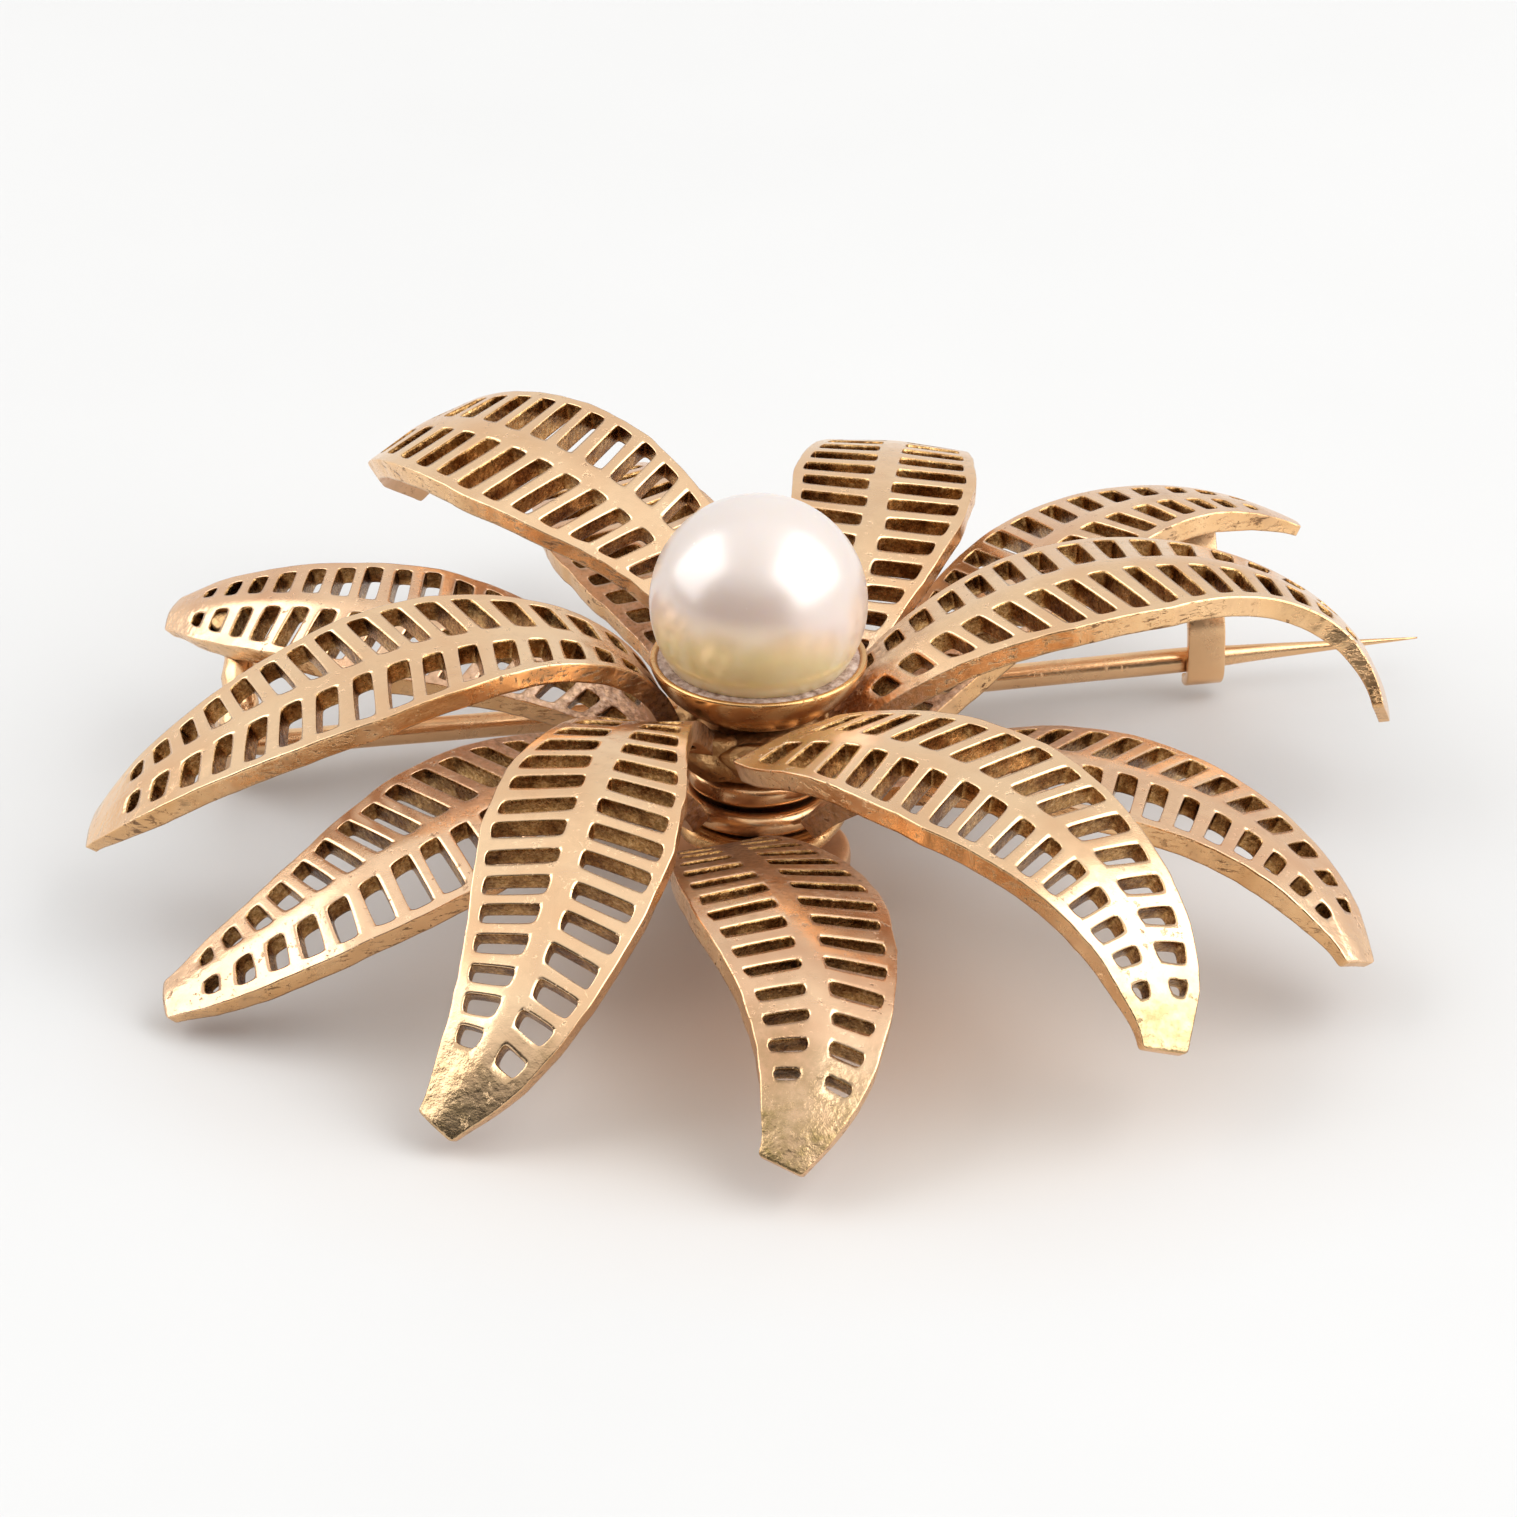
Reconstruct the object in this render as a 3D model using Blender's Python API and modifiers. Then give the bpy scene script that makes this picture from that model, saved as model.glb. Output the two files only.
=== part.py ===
"""Two-tier starburst brooch: a round pearl in a dished cup over twelve pierced leaves,
with a hinged pin stem and a hook catch on the back.

Frame: +Z up along the pearl's axis, origin at the middle of the back plate's flat rear
face, which is also the level the brooch rests on.  +X runs towards the point of the stem.
All driving dimensions are in millimetres and are scaled to metres as they are placed.
"""
import math

import bmesh
import bpy
import numpy as np
from mathutils import Matrix, Vector

MM = 0.001
GAP = 0.05                    # clearance kept between neighbouring pieces

# ---------------------------------------------------------------- heights above the rest plane
PEARL_Z = 10.25               # centre of the pearl
PEARL_R = 3.75
PEG_R = 0.50
PEG_TOP = PEARL_Z - 1.15
CUP_RIM_R = 3.76
CUP_RIM_Z = PEARL_Z - 2.05
HUB_TOP = PEARL_Z - 4.38
HUB_BOTTOM = PEARL_Z - 6.92
RING_Z = PEARL_Z - 7.36       # round wire between the tiers
RING_R = 2.42
RING_WIRE = 0.42
LOW_HUB_TOP = PEARL_Z - 7.84
LOW_HUB_BOTTOM = PEARL_Z - 8.62
LOW_HUB_R = 2.72
RIVET_R = 0.60
PLATE_TOP = PEARL_Z - 8.67
PLATE_R = 3.20
PLATE_THICK = 0.80

# ---------------------------------------------------------------- leaf pattern, from the tip inwards
LEAF_LENGTH = 24.4            # developed length of a leaf of scale 1
LEAF_THICK = 0.75
SLOT_PITCH = 1.23
SLOT_WIDTH = 0.66
EDGE_BAND = 0.42
CHEVRON = 0.21                # outer slot ends lean towards the tip
TIP_HALF = 0.84
TIP_OVER = 0.22               # how far the blunt tip runs past the last frame
RIB_TIP, RIB_ROOT = 0.33, 0.47
PROFILE_S = (0.0, 3.0, 6.0, 9.0, 12.0, 15.0, 19.0)
PROFILE_W = (0.48, 1.26, 1.88, 2.46, 2.87, 2.65, 1.74)   # half width to the slots' outer ends
UPPER_ROOT_R, LOWER_ROOT_R = 2.40, 3.06

# name, root point (x, y, z from the pearl's centre), heading, pitch, roll in degrees,
# arch at root / middle / tip, sickle at root / tip, twist at root / tip in degrees per mm,
# roof fold at root / tip in degrees, distance of the first slot from the tip, scale
LEAVES = (
    ("upper_leaf_1", (-2.9, 0.3, -4.9), 184, 80, 13, (13.8, 3.3, 7.4), (1.8, -4.1), (-0.1, 0.2), (-5, 5), 2.7, 1.03),
    ("upper_leaf_2", (-0.4, 2.7, -4.8), 103, 52, 0, (4.4, 3.9, 12.5), (6.0, -6.3), (1.4, -0.6), (7, 5), 2.95, 1.02),
    ("upper_leaf_3", (1.35, 1.7, -5.0), 55, 37, 14, (4.4, 3.5, 9.5), (3.2, -2.5), (0.1, -0.2), (12, 1), 3.1, 1.00),
    ("upper_leaf_4", (1.8, 0.1, -5.4), 357, 63, 18, (11.0, 2.7, 13.8), (4.1, -7.7), (0.6, -1.6), (15, 1), 3.0, 1.05),
    ("upper_leaf_5", (-0.3, -2.8, -5.2), 270, 54, 40, (9.2, 3.4, 5.5), (4.6, -5.8), (-0.6, 0.2), (7, -2), 2.0, 1.03),
    ("upper_leaf_6", (-2.1, -1.2, -4.9), 222, 46, 27, (7.3, 4.0, 3.8), (4.2, -5.3), (-1.3, 0.4), (-6, 11), 3.1, 1.01),
    ("lower_leaf_1", (-2.2, 1.6, -7.9), 145, 53, 4, (6.0, 3.1, 6.5), (3.4, -2.8), (-0.2, -1.6), (5, 15), 2.0, 0.91),
    ("lower_leaf_2", (-2.1, -1.2, -8.0), 212, 72, 4, (11.9, 3.3, 5.2), (2.4, -4.7), (-0.4, 0.4), (-4, 10), 1.9, 1.00),
    ("lower_leaf_3", (-1.0, -1.5, -8.4), 255, 32, 24, (3.2, 3.0, 6.5), (4.9, -6.1), (-2.1, 1.6), (-3, 7), 3.1, 1.01),
    ("lower_leaf_4", (1.4, -1.5, -8.0), 316, 62, 8, (8.5, 3.3, 6.3), (3.7, -4.5), (0.9, -0.8), (6, 5), 2.0, 1.00),
    ("lower_leaf_5", (2.4, 2.2, -7.9), 42, 25, -2, (-1.6, 3.0, 5.3), (2.0, -4.4), (-0.4, -0.1), (8, 4), 2.2, 0.95),
    ("lower_leaf_6", (-0.5, 2.2, -7.9), 98, 50, 0, (5.0, 3.4, 6.0), (3.5, -4.8), (0.2, -0.2), (3, 3), 2.2, 0.95),
)

# ---------------------------------------------------------------- pin stem, hinge and catch
STEM_Z = PEARL_Z - 8.90       # axis of the closed stem
STEM_ANGLE = 11.3             # direction in plan, from +X towards +Y
STEM_AXIS_X, STEM_AXIS_Y = -18.5, 6.41
STEM_LENGTH = 43.0            # hinge axis to point
STEM_R = 0.45
STEM_BOW = 0.12
SWING_TILT = 45.0             # the stem leaves the hook rearwards and down at this angle
KNUCKLE_R, KNUCKLE_HALF = 0.62, 0.40
CHEEK_R, CHEEK_HALF = 0.60, 0.86
HINGE_PIN_R = 0.28
CATCH_AT = 35.0               # catch centre, along the stem from the hinge axis
CATCH_WIDTH = 1.35
CATCH_THICK = 0.36
CATCH_INNER = 0.60
CATCH_LIP = 275.0             # the hook ends just past its lowest point

SEG = 32                      # steps in a full turn

COL = bpy.data.collections.get("brooch") or bpy.data.collections.new("brooch")
CUT = bpy.data.collections.get("brooch_cutters") or bpy.data.collections.new("brooch_cutters")


def clear_scene():
    for o in list(bpy.data.objects):
        bpy.data.objects.remove(o, do_unlink=True)
    root = bpy.context.scene.collection
    for c in (COL, CUT):
        if c.name not in [k.name for k in root.children]:
            root.children.link(c)


def material(name, rgb, rough, metal):
    m = bpy.data.materials.new(name)
    m.use_nodes = True
    b = m.node_tree.nodes["Principled BSDF"]
    b.inputs["Base Color"].default_value = (*rgb, 1.0)
    b.inputs["Roughness"].default_value = rough
    b.inputs["Metallic"].default_value = metal
    m.diffuse_color = (*rgb, 1.0)
    return m


def put(obj, mat, col=None):
    (col or COL).objects.link(obj)
    if mat is not None:
        obj.data.materials.append(mat)
    return obj


def smooth(mesh, angle=35.0):
    mesh.shade_smooth()
    mesh.set_sharp_from_angle(angle=math.radians(angle))


def bake(obj, name):
    """The evaluated shape of obj as a plain mesh object of the given name."""
    dg = bpy.context.evaluated_depsgraph_get()
    dg.update()
    me = bpy.data.meshes.new_from_object(obj.evaluated_get(dg))
    bm = bmesh.new()
    bm.from_mesh(me)
    bmesh.ops.remove_doubles(bm, verts=bm.verts, dist=1e-7)
    bmesh.ops.recalc_face_normals(bm, faces=bm.faces)
    bm.to_mesh(me)
    bm.free()
    me.name = name
    new = bpy.data.objects.new(name, me)
    new.matrix_world = obj.matrix_world.copy()
    bpy.data.objects.remove(obj, do_unlink=True)
    return new


def turned(name, profile, mat, z=0.0, steps=SEG):
    """A turned solid: (radius, height) points run from the top, down the outside, in again."""
    bm = bmesh.new()
    vs = [bm.verts.new((r * MM, 0.0, h * MM)) for r, h in profile]
    closed = not (profile[0][0] == 0.0 and profile[-1][0] == 0.0)
    for a, b in zip(vs, vs[1:]):
        bm.edges.new((a, b))
    if closed:
        bm.edges.new((vs[-1], vs[0]))
    me = bpy.data.meshes.new(name)
    bm.to_mesh(me)
    bm.free()
    ob = bpy.data.objects.new(name, me)
    ob.location = (0.0, 0.0, z * MM)
    s = ob.modifiers.new("turn", "SCREW")
    s.axis = "Z"
    s.angle = math.tau
    s.steps = s.render_steps = steps
    s.use_merge_vertices = True
    s.merge_threshold = 1e-6
    s.use_smooth_shade = True
    return put(ob, mat)


def arc(cx, cy, r, a0, a1, n):
    return [(cx + r * math.cos(math.radians(a0 + (a1 - a0) * i / n)),
             cy + r * math.sin(math.radians(a0 + (a1 - a0) * i / n))) for i in range(n + 1)]


# ================================================================ leaves
def leaf_frames(row, steps=96):
    """March the midrib from root to tip; returns points, tangents, sides and normals."""
    _, (bx, by, bz), head, pitch, roll, arch, sickle, twist, _, _, scale = row
    h, p, r = (math.radians(v) for v in (head, pitch, roll))
    t = Vector((math.cos(h) * math.cos(p), math.sin(h) * math.cos(p), math.sin(p)))
    side = Vector((-math.sin(h), math.cos(h), 0.0))
    n = t.cross(side)
    side = side * math.cos(r) + n * math.sin(r)
    n = t.cross(side)
    c = Vector((bx, by, bz + PEARL_Z))
    ds = LEAF_LENGTH * scale / steps
    a0, a1, a2 = (math.radians(v) for v in arch)
    k0, k1 = (math.radians(v) for v in sickle)
    w0, w1 = (math.radians(v) for v in twist)
    out = [(c.copy(), t.copy(), side.copy(), n.copy())]
    for i in range(steps):
        q = (i + 0.5) / steps * 2 - 1
        kn = a1 + (a2 - a0) / 2 * q + ((a2 + a0) / 2 - a1) * q * q
        kg = (k0 + k1) / 2 + (k1 - k0) / 2 * q
        tw = (w0 + w1) / 2 + (w1 - w0) / 2 * q
        w = n * kg + side * kn + t * tw
        m = Matrix.Rotation(w.length * ds, 3, w.normalized())
        t2 = m @ t
        c = c + (t + t2) * (ds / 2)
        t, side = t2, m @ side
        n = t.cross(side)
        out.append((c.copy(), t.copy(), side.copy(), n.copy()))
    return out


def leaf_point(row, frames, s, lat, depth=0.0):
    """Point at distance s from the tip and lat to the left of the midrib, on the top face."""
    scale = row[10]
    u = 1.0 - s / LEAF_LENGTH
    past = max(u - 1.0, 0.0) * LEAF_LENGTH * scale        # the tip runs on a little beyond the last frame
    x = min(max(u, 0.0), 1.0) * (len(frames) - 1)
    i = min(int(x), len(frames) - 2)
    f = x - i
    c, t, side, n = (frames[i][k] * (1 - f) + frames[i + 1][k] * f for k in range(4))
    side.normalize()
    n.normalize()
    fold = math.radians(row[8][0] + (row[8][1] - row[8][0]) * u)
    return (c + t * past + side * (lat * scale * math.cos(fold))
            - n * (abs(lat) * scale * math.sin(fold) + depth))


def half_width(s):
    """Half width from the midrib to the slots' outer ends."""
    if s >= PROFILE_S[-1]:
        k = (PROFILE_W[-1] - PROFILE_W[-2]) / (PROFILE_S[-1] - PROFILE_S[-2])
        return max(0.35, PROFILE_W[-1] + k * (s - PROFILE_S[-1]))
    return float(np.interp(s, PROFILE_S, PROFILE_W))


def root_distance(row, frames):
    """Distance from the tip at which the midrib reaches the hub."""
    limit = UPPER_ROOT_R if row[0].startswith("upper") else LOWER_ROOT_R
    for i, fr in enumerate(frames):
        if math.hypot(fr[0].x, fr[0].y) >= limit:
            return LEAF_LENGTH * (1.0 - i / (len(frames) - 1))
    return LEAF_LENGTH


def leaf(row, mat):
    name = row[0]
    frames = leaf_frames(row)
    s_root = root_distance(row, frames)
    last = s_root - (1.5 if name.startswith("upper") else 4.2)
    slots = []
    s = row[9]
    while s + SLOT_WIDTH / 2 < last:
        slots.append(s)
        s += SLOT_PITCH
    rows = [-TIP_OVER]
    for s in slots:
        rows += [s - SLOT_WIDTH / 2, s + SLOT_WIDTH / 2]
    rows += [(rows[-1] + s_root) / 2] if s_root - rows[-1] > 2.5 else []
    rows.append(s_root)
    bm = bmesh.new()
    nx, ny = 5, len(rows) - 1
    bmesh.ops.create_grid(bm, x_segments=nx, y_segments=ny, size=1.0)
    for v in bm.verts:
        i = int(round((v.co.x + 1) / 2 * nx))
        j = int(round((v.co.y + 1) / 2 * ny))
        s = rows[j]
        ho = half_width(s)
        hi = RIB_TIP + (RIB_ROOT - RIB_TIP) * min(1.0, s / 19.0)
        edge = TIP_HALF if s < 0.0 else ho + EDGE_BAND
        if s < 0.0:
            hi, ho = TIP_HALF * 0.35, TIP_HALF * 0.7
        lat = (-edge, -ho, -hi, hi, ho, edge)[i]
        lean = CHEVRON * min(1.0, max(0.0, s) / 2.0) * min(1.0, (s_root - s) / 2.0)
        v.co = leaf_point(row, frames, s - lean * abs(lat), lat) * MM
    bm.faces.ensure_lookup_table()
    doomed = []
    for f in bm.faces:
        j, i = divmod(f.index, nx)
        if i in (1, 3) and j % 2 == 1 and j < 2 * len(slots):
            doomed.append(f)
    bmesh.ops.delete(bm, geom=doomed, context="FACES")
    mid = frames[len(frames) // 2][3]
    bm.normal_update()
    if sum(f.normal.dot(mid) for f in bm.faces) < 0:
        bmesh.ops.reverse_faces(bm, faces=bm.faces)
    me = bpy.data.meshes.new(name)
    bm.to_mesh(me)
    bm.free()
    ob = bpy.data.objects.new(name, me)
    so = ob.modifiers.new("sheet", "SOLIDIFY")
    so.thickness = LEAF_THICK * MM
    so.offset = -1.0
    so.use_even_offset = True
    so.use_rim = True
    return put(ob, mat)


# ================================================================ pearl, cup and centre stack
def centre_stack(gold, dull, pearl_mat):
    # pearl with a blind drilled hole; profile from the top pole down the outside and up the hole
    n = 14
    hole = PEG_R + GAP
    a_end = -math.degrees(math.acos(hole / PEARL_R))
    prof = [(PEARL_R * math.cos(math.radians(90 + (a_end - 90) * i / n)),
             PEARL_R * math.sin(math.radians(90 + (a_end - 90) * i / n))) for i in range(n + 1)]
    prof[0] = (0.0, PEARL_R)
    prof += [(hole, PEG_TOP - PEARL_Z + GAP), (0.0, PEG_TOP - PEARL_Z + GAP)]
    turned("pearl", prof, pearl_mat, PEARL_Z)

    floor = -PEARL_R - 0.10
    turned("pearl_peg", [(0.0, PEG_TOP - PEARL_Z), (PEG_R - 0.08, PEG_TOP - PEARL_Z),
                         (PEG_R, PEG_TOP - PEARL_Z - 0.08), (PEG_R, floor + GAP), (0.0, floor + GAP)],
           dull, PEARL_Z, 20)

    # shallow dished cup, wider than the pearl at its rim
    rim = CUP_RIM_Z - PEARL_Z
    turned("pearl_cup", [
        (0.0, floor), (1.0, floor + 0.01), (2.0, -3.44), (2.9, -2.82), (3.35, -2.42), (CUP_RIM_R - 0.24, rim - 0.04),
        (CUP_RIM_R - 0.14, rim), (CUP_RIM_R - 0.03, rim - 0.03), (CUP_RIM_R, rim - 0.14), (3.51, -2.78), (3.03, -3.32),
        (2.15, -3.92), (1.1, -4.24), (0.0, -4.32)], gold, PEARL_Z)

    # domed upper hub that the six upper leaves grow from, with a blind bore for the rivet
    top, bot = HUB_TOP - PEARL_Z, HUB_BOTTOM - PEARL_Z
    bore = RIVET_R + GAP
    turned("upper_hub", [
        (0.0, top), (1.25, top), (1.45, top - 0.12), (1.75, top - 0.55), (2.02, top - 1.15), (2.10, top - 1.60),
        (2.06, top - 2.05), (1.85, bot + 0.18), (1.60, bot), (bore, bot), (bore, top - 1.0), (0.0, top - 1.0)],
        gold, PEARL_Z)

    # round wire ring between the tiers
    ring = [(RING_R + RING_WIRE * math.cos(math.radians(90 - 360 * i / 12)),
             RING_WIRE * math.sin(math.radians(90 - 360 * i / 12))) for i in range(12)]
    turned("spacer_ring", ring, gold, RING_Z)

    turned("lower_hub", [
        (bore, LOW_HUB_TOP), (LOW_HUB_R - 0.18, LOW_HUB_TOP), (LOW_HUB_R, LOW_HUB_TOP - 0.18),
        (LOW_HUB_R, LOW_HUB_BOTTOM + 0.18), (LOW_HUB_R - 0.18, LOW_HUB_BOTTOM), (bore, LOW_HUB_BOTTOM)],
        gold)

    turned("centre_rivet", [
        (0.0, HUB_TOP - 1.0 - GAP), (RIVET_R, HUB_TOP - 1.0 - GAP), (RIVET_R, 0.45), (0.0, 0.45)], dull, 0.0, 20)

    # back plate: a collar under the lower hub and a flat flange whose rear face is the rest plane
    turned("back_plate", [
        (bore, PLATE_TOP), (1.80, PLATE_TOP), (1.85, PLATE_THICK + 0.06), (1.95, PLATE_THICK), (PLATE_R - 0.12, PLATE_THICK),
        (PLATE_R, PLATE_THICK - 0.12), (PLATE_R, 0.10), (PLATE_R - 0.10, 0.0), (0.0, 0.0),
        (0.0, 0.45 - GAP), (bore, 0.45 - GAP)], gold)


# ================================================================ hinge, stem and catch
def stem_frame():
    """World matrix of the hinge: x along the stem, y along the hinge pin, -z the way it opens."""
    a, b = math.radians(STEM_ANGLE), math.radians(SWING_TILT)
    s = Vector((math.cos(a), math.sin(a), 0.0))
    rear = Vector((-math.sin(a), math.cos(a), 0.0))
    out = rear * math.cos(b) - Vector((0, 0, 1)) * math.sin(b)
    axis = s.cross(out)
    m = Matrix((s, axis, -out)).transposed().to_4x4()
    m.translation = Vector((STEM_AXIS_X, STEM_AXIS_Y, STEM_Z)) * MM
    return m


def plate_from(outline, half, name):
    """A flat outline in its own XY plane, extruded half each way along its Z."""
    cu = bpy.data.curves.new(name, "CURVE")
    cu.dimensions = "2D"
    cu.fill_mode = "BOTH"
    cu.extrude = half * MM
    sp = cu.splines.new("POLY")
    sp.points.add(len(outline) - 1)
    for p, (x, y) in zip(sp.points, outline):
        p.co = (x * MM, y * MM, 0.0, 1.0)
    sp.use_cyclic_u = True
    return bpy.data.objects.new(name, cu)


def cylinder(name, r, half, steps=20, taper=0.06):
    """Solid cylinder along its own Z with small chamfers."""
    prof = [(0.0, half), (r - taper, half), (r, half - taper), (r, -half + taper), (r - taper, -half), (0.0, -half)]
    bm = bmesh.new()
    vs = [bm.verts.new((a * MM, 0, h * MM)) for a, h in prof]
    for a, b in zip(vs, vs[1:]):
        bm.edges.new((a, b))
    me = bpy.data.meshes.new(name)
    bm.to_mesh(me)
    bm.free()
    ob = bpy.data.objects.new(name, me)
    s = ob.modifiers.new("turn", "SCREW")
    s.axis, s.angle = "Z", math.tau
    s.steps = s.render_steps = steps
    s.use_merge_vertices, s.merge_threshold = True, 1e-6
    s.use_smooth_shade = True
    return ob


def leaf_under(name, s, depth):
    """A point below the underside of a leaf's midrib, at distance s from its tip."""
    row = next(r for r in LEAVES if r[0] == name)
    return leaf_point(row, leaf_frames(row), s, 0.0, depth)


def hinge(gold, dull):
    base = stem_frame()
    side = Matrix.Rotation(math.radians(90), 4, "X")      # turns an outline's Z onto the hinge axis

    # bracket: a fork of two round-ended cheeks joined by a bridge above the knuckle
    reach = 1.45
    outline = arc(0, 0, CHEEK_R, 180, 360, 12) + [(CHEEK_R, reach - 0.15), (CHEEK_R - 0.15, reach),
                                                  (-CHEEK_R + 0.15, reach), (-CHEEK_R, reach - 0.15)]
    cu = plate_from(outline, CHEEK_HALF, "hinge_bracket_blank")
    CUT.objects.link(cu)
    cu.matrix_world = base @ side
    body = bake(cu, "hinge_bracket")
    put(body, gold)
    slot = bpy.data.meshes.new("hinge_slot_cutter")
    bm = bmesh.new()
    bmesh.ops.create_cube(bm, size=1.0)
    bmesh.ops.scale(bm, vec=Vector((4.0, 2 * (KNUCKLE_HALF + GAP), 2.0)) * MM, verts=bm.verts)
    bmesh.ops.translate(bm, vec=Vector((0, 0, (KNUCKLE_R + 0.10 - 1.0))) * MM, verts=bm.verts)
    bm.to_mesh(slot)
    bm.free()
    cutter = bpy.data.objects.new("hinge_slot_cutter", slot)
    cutter.matrix_world = base
    bore = cylinder("hinge_bore_cutter", HINGE_PIN_R + 0.04, 2.0, 20, 0.01)
    bore.matrix_world = base @ side
    for c in (cutter, bore):
        CUT.objects.link(c)
        c.hide_render = True
        c.display_type = "WIRE"
        m = body.modifiers.new(c.name, "BOOLEAN")
        m.operation, m.solver, m.object = "DIFFERENCE", "EXACT", c

    pin = cylinder("hinge_pin", HINGE_PIN_R, CHEEK_HALF + 0.16, 16, 0.06)
    pin.matrix_world = base @ side
    put(pin, dull)

    # knuckle: the tube on the stem's end that turns on the hinge pin
    kr, kh, hr = KNUCKLE_R, KNUCKLE_HALF, HINGE_PIN_R + 0.04
    kn = turned("stem_knuckle", [(hr, kh), (kr - 0.06, kh), (kr, kh - 0.06), (kr, -kh + 0.06), (kr - 0.06, -kh), (hr, -kh)],
                gold, 0.0, 24)
    kn.matrix_world = base @ side

    # post: the strut that carries the bracket, up to the underside of the leaf above it
    top = leaf_under("lower_leaf_1", 3.1, LEAF_THICK + 0.16)
    below = leaf_under("lower_leaf_1", 3.1, LEAF_THICK + 0.56)
    foot = (base @ Vector((0.0, 0.0, (reach + 0.06) * MM))) / MM
    lead = base.to_3x3() @ Vector((0, 0, 1))
    cu = bpy.data.curves.new("hinge_post", "CURVE")
    cu.dimensions = "3D"
    cu.bevel_depth = 0.50 * MM
    cu.bevel_resolution = 3
    cu.use_fill_caps = True
    sp = cu.splines.new("POLY")
    pts = [foot]
    start, mid = foot + lead * 0.25, foot + lead * 1.0
    for i in range(9):
        t = i / 8
        # quadratic bend from the bracket's own direction to the underside of the leaf
        pts.append(start * (1 - t) ** 2 + mid * 2 * t * (1 - t) + below * t * t)
    pts.append(top)
    sp.points.add(len(pts) - 1)
    for p, q in zip(sp.points, pts):
        p.co = (*(q * MM), 1.0)
    put(bpy.data.objects.new("hinge_post", cu), gold)
    return base


def pin_stem(base, gold):
    """Round wire, bowed a little away from the brooch and drawn down to a point."""
    cu = bpy.data.curves.new("pin_stem", "CURVE")
    cu.dimensions = "3D"
    cu.bevel_depth = STEM_R * MM
    cu.bevel_resolution = 3
    cu.use_fill_caps = True
    sp = cu.splines.new("POLY")
    start = KNUCKLE_R + GAP
    along = [start + (STEM_LENGTH - start) * f for f in
             (0.0, 0.06, 0.13, 0.22, 0.32, 0.42, 0.52, 0.62, 0.71, 0.79, 0.85, 0.90, 0.94, 0.97, 0.99, 1.0)]
    sp.points.add(len(along) - 1)
    for p, x in zip(sp.points, along):
        f = x / STEM_LENGTH
        drop = -STEM_BOW * math.sin(math.pi * min(1.0, f * 1.15)) if f * 1.15 < 1.0 else 0.0
        r = 1.0 if f < 0.80 else max(0.10, 1.0 - 0.90 * ((f - 0.80) / 0.20) ** 0.9)
        down = base.to_3x3().inverted() @ Vector((0, 0, drop))
        p.co = (x * MM, down.y * MM, down.z * MM, 1.0)
        p.radius = r
    ob = bpy.data.objects.new("pin_stem", cu)
    ob.matrix_world = base
    put(ob, gold)


def catch(gold):
    """Flat strip from the leaf above, down in front of the stem and curled under it."""
    a = math.radians(STEM_ANGLE)
    s = Vector((math.cos(a), math.sin(a), 0.0))
    rear = Vector((-math.sin(a), math.cos(a), 0.0))
    at = Vector((STEM_AXIS_X, STEM_AXIS_Y, STEM_Z)) + s * CATCH_AT
    # nearest midrib station of the leaf over the catch
    row = next(r for r in LEAVES if r[0] == "lower_leaf_5")
    fr = leaf_frames(row)
    best = min((abs((leaf_point(row, fr, 0.05 * i, 0.0) - at).dot(s)), 0.05 * i) for i in range(20, 160))[1]
    top = leaf_point(row, fr, best, 0.0, LEAF_THICK)
    rise = (top - at).z - 0.42
    off = (top - at).dot(rear)
    inner, outer = CATCH_INNER, CATCH_INNER + CATCH_THICK
    mid = (inner + outer) / 2
    # centre line of the strip, from the lip round the front and up; x = rearwards, y = up
    line = arc(0, 0, mid, CATCH_LIP, 180, 9)
    line += [(-mid, 0.5), (-mid, 1.2)]
    lean = off + 0.1
    for i in range(1, 7):
        t = i / 6
        e = t * t * (3 - 2 * t)
        line.append((-mid + (lean + mid) * e, 1.2 + (rise - 1.2) * t))
    left, right = [], []
    for i, p in enumerate(line):
        q0, q1 = line[max(i - 1, 0)], line[min(i + 1, len(line) - 1)]
        dx, dy = q1[0] - q0[0], q1[1] - q0[1]
        d = math.hypot(dx, dy)
        nx, ny = -dy / d * CATCH_THICK / 2, dx / d * CATCH_THICK / 2
        left.append((p[0] + nx, p[1] + ny))
        right.append((p[0] - nx, p[1] - ny))
    ob = plate_from(left + right[::-1], CATCH_WIDTH / 2, "catch_hook")
    m = Matrix((rear, Vector((0, 0, 1)), s)).transposed().to_4x4()
    m.translation = at * MM
    ob.matrix_world = m
    put(ob, gold)


def main():
    clear_scene()
    gold = material("gold", (0.83, 0.57, 0.36), 0.22, 1.0)
    matt = material("gold_leaf", (0.80, 0.55, 0.36), 0.32, 1.0)
    dull = material("gold_dull", (0.66, 0.45, 0.28), 0.40, 1.0)
    nacre = material("nacre", (0.90, 0.86, 0.82), 0.18, 0.0)
    centre_stack(gold, dull, nacre)
    for i, row in enumerate(LEAVES):
        m = material("leaf_%02d" % (i + 1), (0.80, 0.55 - 0.004 * i, 0.36), 0.30, 1.0)
        leaf(row, m)
    base = hinge(gold, dull)
    pin_stem(base, gold)
    catch(gold)


main()
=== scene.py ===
"""The looks of the two-tier leaf brooch: finer surfaces, materials, table and light."""
import math
import random

import bmesh
import bpy
import numpy as np
from mathutils import Matrix, Vector, noise


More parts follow.
